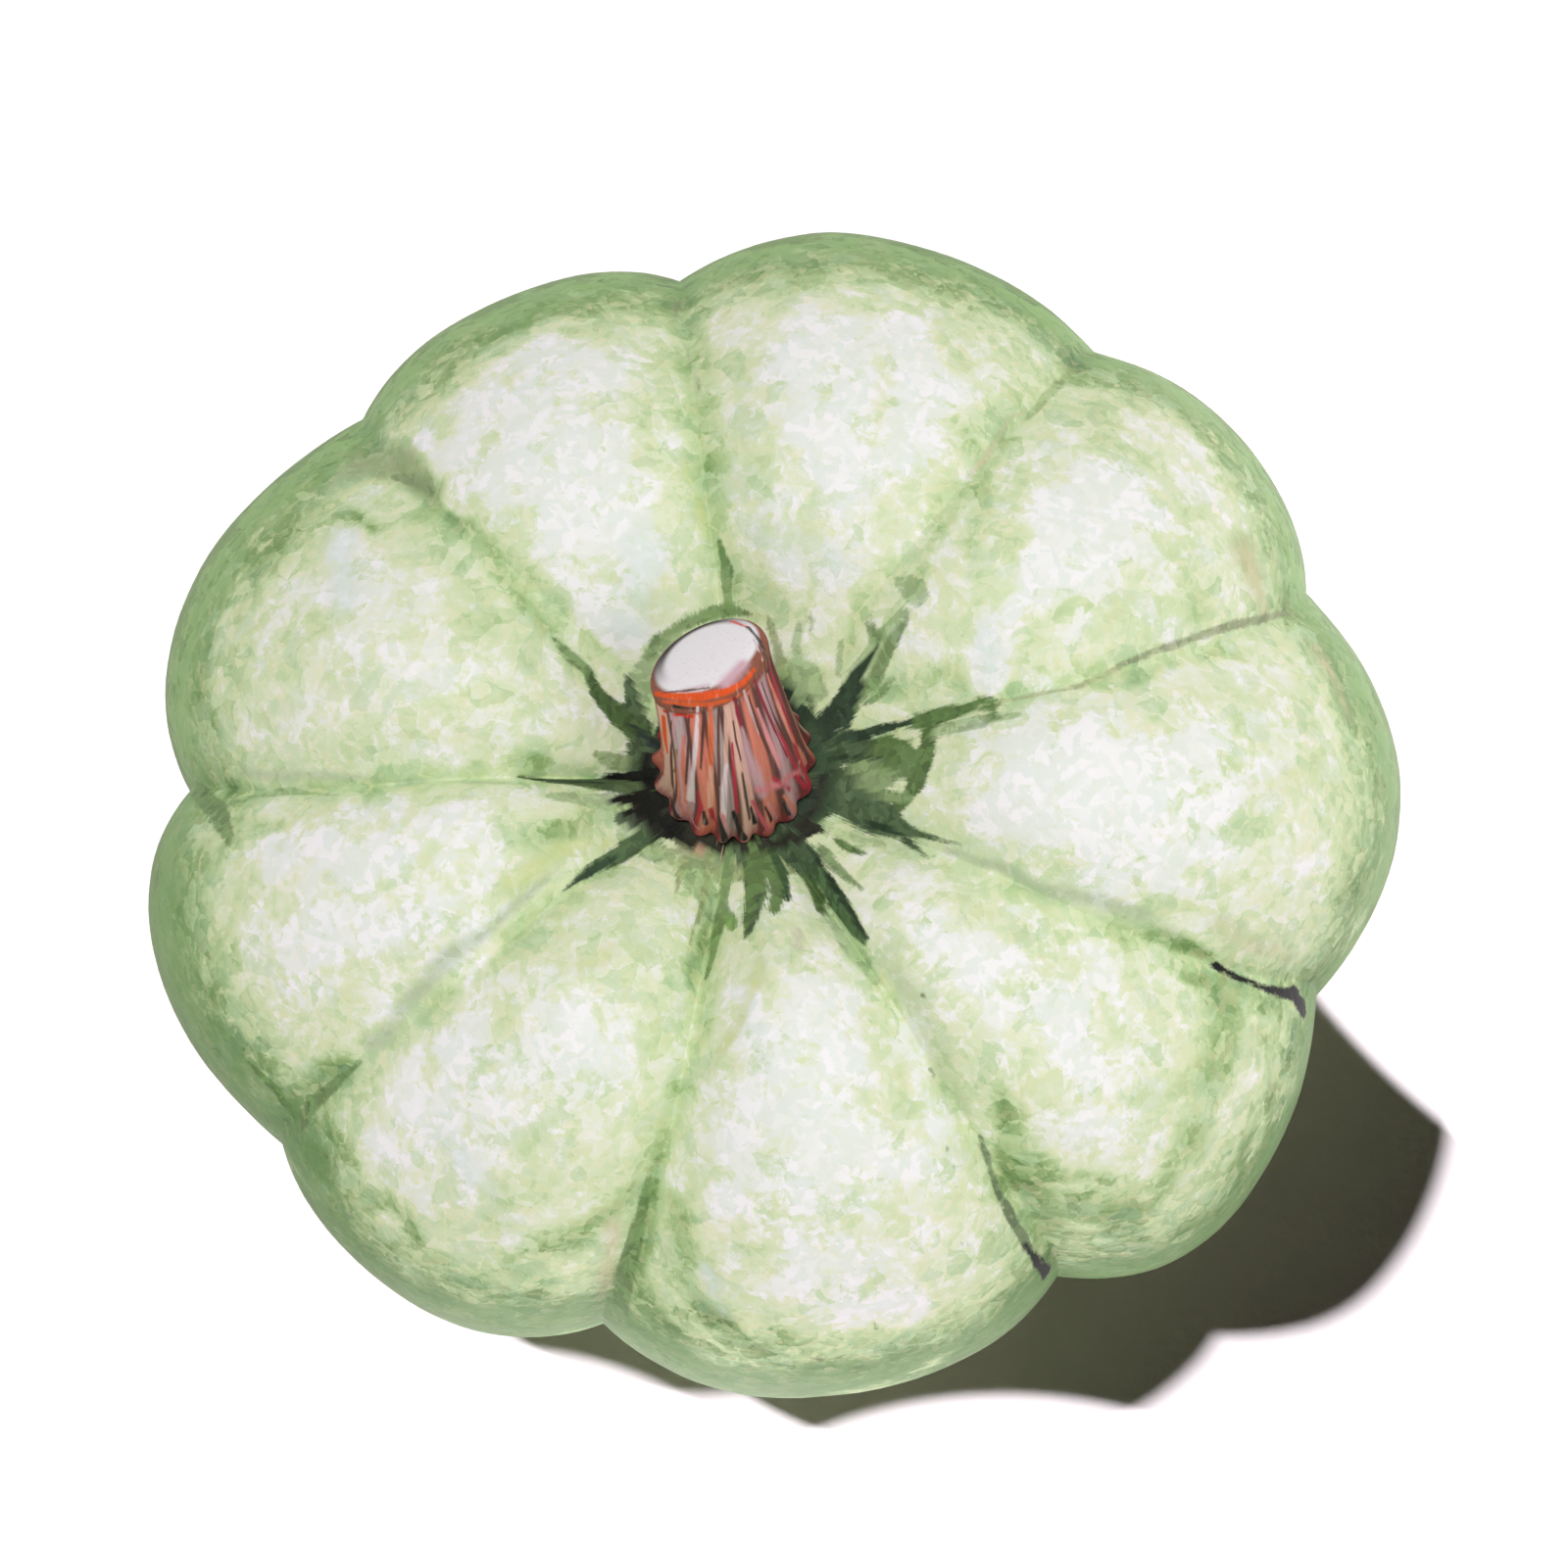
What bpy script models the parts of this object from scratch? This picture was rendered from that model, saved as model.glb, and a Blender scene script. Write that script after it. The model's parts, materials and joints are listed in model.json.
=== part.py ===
"""A ribbed winter squash with its cut stem, lying on its underside.

Metres, +Z up. The origin is on the surface that the fruit lies on, under the middle of its outline in plan.
The front of the fruit, from which the stem leans away, faces -Y.
Two solids: the fruit, with its lobes, stem cavity and blossom scar, and the dry ridged stem.
"""

import math
from typing import NamedTuple

import bmesh
import bpy
from mathutils import Matrix, Vector

MM = 0.001


class Lobe(NamedTuple):
    """One lobe and the groove that starts it. Angles in degrees, lengths in millimetres."""

    groove_at: float  # azimuth of the groove at the girth, counterclockwise seen from above
    groove_bow: float  # how far the groove is turned round on the shoulder
    groove_depth: float  # how deep the groove is cut at the girth
    reach: float  # from the middle of the seat out to the crown of the lobe
    height: float  # from the girth up to the crown, before the stem cavity is sunk
    crown_at: float  # 0 midway between the lobe's grooves, and towards 1 nearer the next groove


# The fruit grew unevenly: the lobes on the right reach further than those on the left
LOBES = (
    Lobe(22.0, -10.0, 7.8, 125.0, 71.0, 0.0),
    Lobe(53.0, -2.0, 6.2, 120.0, 69.0, 0.08),
    Lobe(96.5, 0.5, 8.9, 114.5, 67.0, 0.0),
    Lobe(133.0, 7.0, 7.6, 117.0, 70.0, 0.2),
    Lobe(177.5, 7.0, 10.4, 117.0, 68.0, -0.18),
    Lobe(215.8, 4.0, 7.6, 113.5, 70.5, 0.0),
    Lobe(255.0, 5.5, 12.4, 113.0, 72.0, 0.0),
    Lobe(304.7, -3.5, 11.2, 122.5, 69.0, -0.22),
    Lobe(343.0, -8.5, 9.8, 128.8, 71.0, 0.02),
)
MEAN_REACH = sum(lobe.reach for lobe in LOBES) / len(LOBES)
MEAN_HEIGHT = sum(lobe.height for lobe in LOBES) / len(LOBES)

# The outline of a lobe's crown, from the stem over the shoulder and the girth to the blossom end
GIRTH_HEIGHT = 53.0
UNDERSIDE_DROP = 57.3  # more than the girth's height, so that each lobe lies on a small flat
SQUARENESS = 2.45  # 2 is an ellipse, and more is squarer at the shoulder
CAVITY_DEPTH = 30.0
CAVITY_RADIUS = 37.0
NAVEL_DEPTH = 13.0
NAVEL_RADIUS = 27.0

# The lobes between their grooves
LOBE_ROUNDNESS = 2.2  # power of the swell between two grooves
LOBES_PART_AT = (0.1, 0.5)  # share of the reach over which each lobe takes up its own outline
BOW_HELD_OUT_TO = 5  # power of the radius: the higher it is, the nearer the girth a bowed groove turns back
GROOVE_DEEPENS_OVER = 0.34  # share of the reach in which a groove gains most of its depth
GROOVES_START = 11.0  # radius at which the grooves begin at either end
GROOVES_FULL = 26.0

# Long shallow swells in the skin: two waves round the fruit, each turning as it runs down
SWELL_DEPTH = 0.8
SWELL_WAVES = ((3, 4.0, 0.0), (2, -5.0, 1.0))  # (waves in a round, turn down the side, start)

# The seat is the flat spot in the cavity that the stem stands on, and the scar is opposite it
SEAT_RADIUS = 11.6
SCAR_RADIUS = 8.0
SCAR_LIP = 1.2
SCAR_RISE = 2.0

# How finely the fruit is divided
COLUMNS_IN_LOBE = 10
RINGS = 36
OUTLINE_SAMPLES = 600

# The stem: stations along its curved axis, each (distance along the axis, radius, rib height)
STEM_AT = Vector((-1.0, 1.0, 0.0))  # from the middle of the seat
STEM_GAP = 0.3
FOOT_RADIUS = 9.8
FLARE_RADIUS = 15.6
TOE_HEIGHT = 2.4
STEM_STATIONS = (
    (2.2, 15.5, 2.2),
    (4.6, 14.8, 1.9),
    (7.6, 14.0, 1.6),
    (11.0, 13.3, 1.35),
    (15.0, 12.8, 1.2),
    (19.4, 12.3, 1.1),
    (23.6, 11.9, 1.0),
    (27.0, 11.6, 0.9),
    (29.2, 11.4, 0.8),
)
LIP_STATIONS = ((29.8, 11.6, 0.25), (31.2, 11.8, 0.1), (32.3, 11.6, 0.0), (33.2, 11.1, 0.0), (34.1, 9.6, 0.0))
CUT_STATIONS = ((34.6, 6.9, 0.0), (34.8, 3.4, 0.0))
CUT_CENTRE_AT = 34.9
STEM_RIBS = 18
COLUMNS_IN_RIB = 4
RIB_FULLNESS = 0.7  # power of a rib's outline: 1 is a sine, and less is fuller
RIB_CROWDING = 0.07  # radians by which the ribs crowd together and spread out
CROWDED_PLACES = 3
STEM_TWIST = math.radians(12)
LEAN_TOWARDS = math.radians(109)  # azimuth
LEAN_STARTS = 2.0
LEAN_ENDS = 24.0
LEAN = math.radians(43)
CUT_SLANT = math.radians(-10)  # more than square to the stem
AXIS_STEP = 0.5

SHARP_FROM = math.radians(50)
SKIN_COLOUR = (0.52, 0.66, 0.38)
BARK_COLOUR = (0.62, 0.28, 0.18)


def smooth_step(value, start, end):
    """0 before start, 1 after end, and a smooth rise between them."""
    share = min(max((value - start) / (end - start), 0.0), 1.0)
    return share * share * (3 - 2 * share)


def polar(radius, azimuth, height):
    return Vector((radius * math.cos(azimuth), radius * math.sin(azimuth), height))


def share_of_reach(turn):
    """Radius as a share of the reach. The turn is 0 at the stem, 1 at the girth and 2 at the blossom end."""
    return abs(math.sin(turn * math.pi / 2)) ** (2 / SQUARENESS)


def turn_at_radius(radius, reach):
    """The turn on the upper side at which the outline has this radius."""
    return math.asin((radius / reach) ** (SQUARENESS / 2)) / (math.pi / 2)


def crown_outline(turn, reach, height):
    """(radius, height) on a lobe's crown."""
    radius = reach * share_of_reach(turn)
    lift = abs(math.cos(turn * math.pi / 2)) ** (2 / SQUARENESS)
    if turn <= 1:
        cavity = CAVITY_DEPTH * math.exp(-((radius / CAVITY_RADIUS) ** 2))
        return radius, GIRTH_HEIGHT + height * lift - cavity
    navel = NAVEL_DEPTH * math.exp(-((radius / NAVEL_RADIUS) ** 2))
    return radius, GIRTH_HEIGHT - UNDERSIDE_DROP * lift + navel


def wall_height(radius):
    """Height of the stem cavity's wall at this radius, where the lobes still share one outline."""
    return crown_outline(turn_at_radius(radius, MEAN_REACH), MEAN_REACH, MEAN_HEIGHT)[1]


def inward_normal(turn, reach, height):
    """Unit vector in the plane of the outline that points into the fruit."""
    step = 1e-3
    r0, z0 = crown_outline(turn - step, reach, height)
    r1, z1 = crown_outline(turn + step, reach, height)
    along = Vector((r1 - r0, z1 - z0)).normalized()
    return Vector((along.y, -along.x))


def even_turns():
    """Turns for the rings, evenly spaced along the mean outline from the seat to the scar."""
    first = turn_at_radius(SEAT_RADIUS, MEAN_REACH)
    last = 2 - turn_at_radius(SCAR_RADIUS, MEAN_REACH)
    turns = [first + (last - first) * i / OUTLINE_SAMPLES for i in range(OUTLINE_SAMPLES + 1)]
    points = [Vector(crown_outline(turn, MEAN_REACH, MEAN_HEIGHT)) for turn in turns]
    lengths = [0.0]
    for before, after in zip(points, points[1:]):
        lengths.append(lengths[-1] + (after - before).length)
    chosen, i = [], 0
    for ring in range(RINGS):
        wanted = lengths[-1] * ring / (RINGS - 1)
        while i < OUTLINE_SAMPLES and lengths[i] < wanted:
            i += 1
        chosen.append(turns[i])
    return chosen


def columns():
    """(lobe, place across it from -1 to 1) of every column round the fruit, crowding at the grooves."""
    for index in range(len(LOBES)):
        for column in range(COLUMNS_IN_LOBE):
            yield index, -math.cos(math.pi * column / COLUMNS_IN_LOBE)


def groove_azimuth(index, turn, share):
    """Azimuth of a groove, in degrees. It bows one way above the girth and the other way below."""
    lobe = LOBES[index % len(LOBES)]
    side = 1 if turn <= 1 else -1
    full_turns = 360 * (index // len(LOBES))
    return full_turns + lobe.groove_at + side * lobe.groove_bow * (1 - share**BOW_HELD_OUT_TO)


def column_azimuth(index, across, turn, share):
    """Azimuth of a column at this turn, in radians."""
    start = groove_azimuth(index, turn, share)
    end = groove_azimuth(index + 1, turn, share)
    return math.radians(start + (end - start) * (across + 1) / 2)


def between(first, middle, last, side):
    """Value across a lobe, from its first groove at -1 by its crown at 0 to its last groove at 1."""
    edge = first if side < 0 else last
    return middle + (edge - middle) * smooth_step(abs(side), 0, 1)


def swell_at(azimuth, turn):
    product = 1.0
    for waves, slope, start in SWELL_WAVES:
        product *= math.sin(waves * azimuth + slope * turn + start)
    return SWELL_DEPTH * product


def skin_point(index, across, turn):
    """A point of the skin, in millimetres about the middle of the seat in plan."""
    before, lobe, after = (LOBES[(index + step) % len(LOBES)] for step in (-1, 0, 1))
    side = across - lobe.crown_at * (1 - across**2)
    share = share_of_reach(turn)
    azimuth = column_azimuth(index, across, turn, share)

    own = smooth_step(share, *LOBES_PART_AT)
    reach = between((before.reach + lobe.reach) / 2, lobe.reach, (lobe.reach + after.reach) / 2, side)
    height = between((before.height + lobe.height) / 2, lobe.height, (lobe.height + after.height) / 2, side)
    reach = MEAN_REACH + (reach - MEAN_REACH) * own
    height = MEAN_HEIGHT + (height - MEAN_HEIGHT) * own
    radius, z = crown_outline(turn, reach, height)

    grooved = smooth_step(radius, GROOVES_START, GROOVES_FULL) * (1 - math.exp(-share / GROOVE_DEEPENS_OVER))
    edge_depth = lobe.groove_depth if side < 0 else after.groove_depth
    depth = grooved * (edge_depth * abs(side) ** LOBE_ROUNDNESS + swell_at(azimuth, turn))
    inward = inward_normal(turn, reach, height) * depth
    return polar(radius + inward.x, azimuth, max(z + inward.y, 0.0))  # flat where it lies


def level_ring(radius, height):
    """A round ring with the fruit's columns."""
    return [polar(radius, column_azimuth(index, across, 0, 0), height) for index, across in columns()]


def closed_skin(name, rings, first_pole, last_pole):
    """A mesh through the rings, closed by a fan at each end. Points are in millimetres."""
    bm = bmesh.new()
    rows = [[bm.verts.new(point * MM) for point in ring] for ring in rings]
    for upper, lower in zip(rows, rows[1:]):
        for i in range(len(upper)):
            j = (i + 1) % len(upper)
            bm.faces.new((upper[i], lower[i], lower[j], upper[j]))
    for row, pole in ((rows[0], first_pole), (rows[-1], last_pole)):
        centre = bm.verts.new(pole * MM)
        for i in range(len(row)):
            bm.faces.new((row[i], row[(i + 1) % len(row)], centre))
    bmesh.ops.recalc_face_normals(bm, faces=bm.faces)
    if bm.calc_volume(signed=True) < 0:
        bmesh.ops.reverse_faces(bm, faces=bm.faces)
    mesh = bpy.data.meshes.new(name)
    bm.to_mesh(mesh)
    bm.free()
    mesh.shade_smooth()
    mesh.set_sharp_from_angle(angle=SHARP_FROM)
    return mesh


def fruit_mesh():
    """The fruit, and the middle of its outline in plan, in millimetres about the middle of the seat."""
    seat = level_ring(SEAT_RADIUS, wall_height(SEAT_RADIUS))
    skin = [[skin_point(index, across, turn) for index, across in columns()] for turn in even_turns()[1:]]
    scar_height = skin[-1][0].z - SCAR_RISE
    scar = level_ring(SCAR_RADIUS - SCAR_LIP, scar_height)
    poles = Vector((0, 0, wall_height(SEAT_RADIUS))), Vector((0, 0, scar_height))
    xs, ys, _ = zip(*(point for ring in skin for point in ring))
    middle = Vector((min(xs) + max(xs), min(ys) + max(ys), 0)) / 2
    return closed_skin("fruit", [seat, *skin, scar], *poles), middle


def lean_at(distance):
    """The stem's lean from upright at this distance along it."""
    return LEAN * smooth_step(distance, LEAN_STARTS, LEAN_ENDS)


def stem_axis(distance):
    """(point, frame) on the stem's curved axis, worked out in small steps from the seat."""
    steps = max(int(distance / AXIS_STEP), 1)
    point = Vector((0, 0, 0))
    for i in range(steps):
        lean = lean_at(distance * (i + 0.5) / steps)
        point += Vector((math.sin(lean), 0, math.cos(lean))) * distance / steps
    towards = Matrix.Rotation(LEAN_TOWARDS, 3, "Z")
    return towards @ point, towards @ Matrix.Rotation(lean_at(distance), 3, "Y")


def rib_relief(i):
    """-1 in the valley beside a rib, and up to 0 on its back, for a column of the stem."""
    share = (i % COLUMNS_IN_RIB) / COLUMNS_IN_RIB
    return math.sin(math.pi * share) ** RIB_FULLNESS - 1


def stem_ring(distance, radius, rib_height, slant=0.0):
    """One ribbed ring across the stem."""
    point, frame = stem_axis(distance)
    frame = frame @ Matrix.Rotation(slant, 3, "X")
    count = STEM_RIBS * COLUMNS_IN_RIB
    ring = []
    for i in range(count):
        angle = 2 * math.pi * i / count
        angle += RIB_CROWDING * math.sin(CROWDED_PLACES * angle + 1) + STEM_TWIST * distance / CUT_CENTRE_AT
        ring.append(point + frame @ polar(radius + rib_height * rib_relief(i), angle, 0))
    return ring


def stem_mesh():
    """The stem from its flat foot up, over the toes that spread on the cavity's wall, to the cut."""
    foot = stem_ring(0, FOOT_RADIUS, 0)
    toes = stem_ring(0, FLARE_RADIUS, TOE_HEIGHT)
    for point in toes:
        rise = wall_height(max((point + STEM_AT).length, SEAT_RADIUS)) - wall_height(SEAT_RADIUS)
        point.z = rise + STEM_GAP
    bark = [stem_ring(*station) for station in STEM_STATIONS]
    top = [stem_ring(*station, CUT_SLANT) for station in LIP_STATIONS + CUT_STATIONS]
    return closed_skin("stem", [foot, toes, *bark, *top], Vector((0, 0, 0)), stem_axis(CUT_CENTRE_AT)[0])


def plain_material(name, colour, roughness):
    material = bpy.data.materials.new(name)
    material.use_nodes = True
    shader = material.node_tree.nodes["Principled BSDF"]
    shader.inputs["Base Color"].default_value = (*colour, 1)
    shader.inputs["Roughness"].default_value = roughness
    shader.inputs["Metallic"].default_value = 0
    return material


def add_object(mesh, material, parent, place):
    obj = bpy.data.objects.new(mesh.name, mesh)
    bpy.context.scene.collection.objects.link(obj)
    obj.data.materials.append(material)
    obj.parent = parent
    obj.location = place * MM


def main():
    for obj in list(bpy.data.objects):
        bpy.data.objects.remove(obj)
    skin = plain_material("squash_skin", SKIN_COLOUR, 0.55)
    bark = plain_material("stem_bark", BARK_COLOUR, 0.8)
    mesh, middle = fruit_mesh()
    squash = bpy.data.objects.new("squash", None)
    bpy.context.scene.collection.objects.link(squash)
    squash.location = -middle * MM
    add_object(mesh, skin, squash, Vector((0, 0, 0)))
    add_object(stem_mesh(), bark, squash, STEM_AT + Vector((0, 0, wall_height(SEAT_RADIUS) + STEM_GAP)))


main()
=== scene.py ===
# %% [markdown]
# # A pale ribbed winter squash
#
# The real thing is one fruit that grew on a vine, with nine deep lobes round a sunken cavity.
# The dry stump of its stem still stands in the cavity. The frame has both solids at their real size.
# This script gives each a finer skin, and the colours that the picture shows.

# %% Load the frame
import json
import math

import bmesh
import bpy
import numpy as np
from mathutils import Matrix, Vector
from mathutils.kdtree import KDTree
from mathutils.noise import noise_vector, seed_set

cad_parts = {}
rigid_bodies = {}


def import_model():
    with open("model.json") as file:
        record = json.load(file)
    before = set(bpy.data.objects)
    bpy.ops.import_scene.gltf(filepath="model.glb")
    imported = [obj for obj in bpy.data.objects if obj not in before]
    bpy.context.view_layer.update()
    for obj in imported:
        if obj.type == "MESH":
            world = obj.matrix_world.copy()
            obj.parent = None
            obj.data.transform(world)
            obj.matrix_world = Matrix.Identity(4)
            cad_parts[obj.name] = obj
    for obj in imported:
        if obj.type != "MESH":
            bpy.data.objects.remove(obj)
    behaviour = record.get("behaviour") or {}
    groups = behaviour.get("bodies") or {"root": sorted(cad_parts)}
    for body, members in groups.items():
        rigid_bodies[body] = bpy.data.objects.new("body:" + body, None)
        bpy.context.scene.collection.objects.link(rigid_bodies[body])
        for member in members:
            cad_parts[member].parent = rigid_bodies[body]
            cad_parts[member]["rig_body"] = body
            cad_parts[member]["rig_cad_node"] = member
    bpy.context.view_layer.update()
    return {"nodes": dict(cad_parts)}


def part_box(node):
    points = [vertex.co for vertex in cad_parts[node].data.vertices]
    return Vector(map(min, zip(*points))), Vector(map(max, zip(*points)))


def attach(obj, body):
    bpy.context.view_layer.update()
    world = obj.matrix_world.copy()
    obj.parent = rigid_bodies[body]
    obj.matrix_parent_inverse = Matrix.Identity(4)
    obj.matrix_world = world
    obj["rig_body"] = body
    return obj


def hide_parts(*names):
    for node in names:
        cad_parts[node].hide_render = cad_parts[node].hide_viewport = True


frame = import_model()
MM = 0.001

# %% [markdown]
# ## The camera
#
# The picture looks down on the squash from its front, nearly straight from above. A long lens from
# a metre away gives the same foreshortening. The camera comes first because a mark on the rind is
# placed where the line of sight through its pixel meets the skin.

# %% Camera and line of sight
PICTURE_WIDE = 1600
PICTURE_HIGH = 1578
ELEVATION = math.radians(76)
CAMERA_DISTANCE = 1.0
LENS = 117.8
SENSOR = 36.0
BACK = Vector((0, -math.cos(ELEVATION), math.sin(ELEVATION)))
UP = Vector((0, math.sin(ELEVATION), math.cos(ELEVATION)))
RIGHT = Vector((1, 0, 0))
FRUIT_MIDDLE = Vector((0, 0, 0.055))
SLIDE_RIGHT = 0.00107  # the squash stands a little left of the picture's middle, and below it
SLIDE_UP = 0.00636
AIM = FRUIT_MIDDLE + RIGHT * SLIDE_RIGHT + UP * SLIDE_UP
SIGHT_LENGTH = PICTURE_WIDE * LENS / SENSOR

camera = bpy.data.objects.new("camera", bpy.data.cameras.new("camera"))
bpy.context.scene.collection.objects.link(camera)
camera.data.lens = LENS
camera.data.sensor_width = SENSOR
camera.location = AIM + BACK * CAMERA_DISTANCE
camera.rotation_euler = (math.pi / 2 - ELEVATION, 0, 0)
bpy.context.scene.camera = camera


def sight_through(pixel):
    """The direction in which the camera sees this pixel of the picture."""
    right = (pixel[0] - PICTURE_WIDE / 2) / SIGHT_LENGTH
    up = (PICTURE_HIGH / 2 - pixel[1]) / SIGHT_LENGTH
    return RIGHT * right + UP * up - BACK


def seen_at(piece, pixel):
    """The point of the piece that the camera sees at this pixel, or None."""
    hit, point, _, _ = piece.ray_cast(camera.location, sight_through(pixel))
    return point if hit else None


SHOULDER_NEARER = 0.04  # the shoulder is this much nearer to the camera than what it aims at
PIXEL = (CAMERA_DISTANCE - SHOULDER_NEARER) / SIGHT_LENGTH
print("one pixel of the picture is", round(PIXEL / MM, 3), "mm on the shoulder of the fruit")

# %% [markdown]
# ## Light and floor
#
# The picture is lit softly from the upper left, with one dark shadow to the lower right on white paper.
# A painter lights the fruit and lays the shadow as two things, so the lights are linked the same way.
# The squash has a broad key from the upper left, and wide lamps for the lobes that turn away from it.
# The floor has a lower, narrower sun. Three spots keep its shadow off the upper right and the front,
# where the paper is left white, and only a faint warm sky reaches into it.

# %% Lights, sky and floor
KEY_FROM = Vector((-0.16, 0.12, 1.0))
KEY_STRENGTH = 2.15
KEY_WIDTH = math.radians(22)
LOW_SUN_FROM = Vector((-0.505, 0.08, 1.0))
LOW_SUN_STRENGTH = 7.5
LOW_SUN_WIDTH = math.radians(3)
SKY = 0.03
SKY_COLOUR = (1.0, 0.4, 0.8)
LAMP_SIDE = 0.9
LAMPS = (  # (where it stands, its power)
    (Vector((0.9, -0.5, 0.75)), 3.6), (Vector((-0.4, -1.0, 0.7)), 2.4), (Vector((0.9, 0.55, 0.8)), 2.8),
)
SPOTS = (  # (the pixel at the middle of its light on the floor, the radius of that, where from, its power)
    ((1990, 516), 0.165, Vector((0.1, 0.1, 1.0)), 66.0),
    ((500, 1802), 0.079, Vector((0.0, -0.22, 1.0)), 58.0),
    ((1030, 2000), 0.105, Vector((0.0, -0.22, 1.0)), 58.0),
)
SPOT_SIZE = 0.0015
SPOT_DISTANCE = 0.8
SPOT_BLEND = 0.015
FLOOR_SIDE = 14.0


def add_light(name, kind, away, receivers, strength):
    """A light that points away from the direction given, and falls on one collection alone."""
    light = bpy.data.objects.new(name, bpy.data.lights.new(name, kind))
    bpy.context.scene.collection.objects.link(light)
    light.data.energy = strength
    light.light_linking.receiver_collection = receivers
    light.rotation_mode = "QUATERNION"
    light.rotation_quaternion = away.to_track_quat("Z", "Y")
    return light


def on_floor(pixel):
    """The point of the floor that the camera sees at this pixel."""
    sight = sight_through(pixel)
    return camera.location - sight * (camera.location.z / sight.z)


bpy.ops.mesh.primitive_plane_add(size=FLOOR_SIDE)
floor = bpy.context.object
floor.name = "floor"

lit_squash = bpy.data.collections.new("lit_squash")
lit_floor = bpy.data.collections.new("lit_floor")
lit_floor.objects.link(floor)

key = add_light("key", "SUN", KEY_FROM, lit_squash, KEY_STRENGTH)
key.data.angle = KEY_WIDTH
for number, (place, power) in enumerate(LAMPS):
    lamp = add_light(f"lamp_{number}", "AREA", place - AIM, lit_squash, power)
    lamp.data.size = LAMP_SIDE
    lamp.location = place

low_sun = add_light("low_sun", "SUN", LOW_SUN_FROM, lit_floor, LOW_SUN_STRENGTH)
low_sun.data.angle = LOW_SUN_WIDTH
for number, (pixel, reach, away, power) in enumerate(SPOTS):
    spot = add_light(f"spot_{number}", "SPOT", away, lit_floor, power)
    spot.location = on_floor(pixel) + away.normalized() * SPOT_DISTANCE
    spot.data.spot_size = 2 * math.atan(reach / SPOT_DISTANCE)
    spot.data.spot_blend = SPOT_BLEND
    spot.data.shadow_soft_size = SPOT_SIZE

world = bpy.data.worlds.new("studio")
world.use_nodes = True
world.node_tree.nodes["Background"].inputs["Color"].default_value = (*SKY_COLOUR, 1)
world.node_tree.nodes["Background"].inputs["Strength"].default_value = SKY
bpy.context.scene.world = world
bpy.context.scene.view_settings.view_transform = "Standard"

# %% [markdown]
# ## Writing finishes as expressions
#
# A finish is a network of shader nodes, and most of it is arithmetic, which nodes hide.
# So one small class wraps a socket, and an expression on it adds the Math nodes.
# Every other node is added by one method, which takes its type, settings and sockets.

# %% Values, and the finish that they belong to
class Value:
    """What comes out of a socket. A sum on it adds Math nodes."""

    def __init__(self, finish, socket):
        self.finish = finish
        self.socket = socket

    def math(self, operation, *others):
        return self.finish.add("ShaderNodeMath", {"operation": operation}, dict(enumerate((self, *others))))

    def __add__(self, other):
        return self.math("ADD", other)

    __radd__ = __add__

    def __mul__(self, other):
        return self.math("MULTIPLY", other)

    __rmul__ = __mul__

    def __sub__(self, other):
        return self.math("SUBTRACT", other)

    def __rsub__(self, other):
        return self * -1 + other


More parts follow.
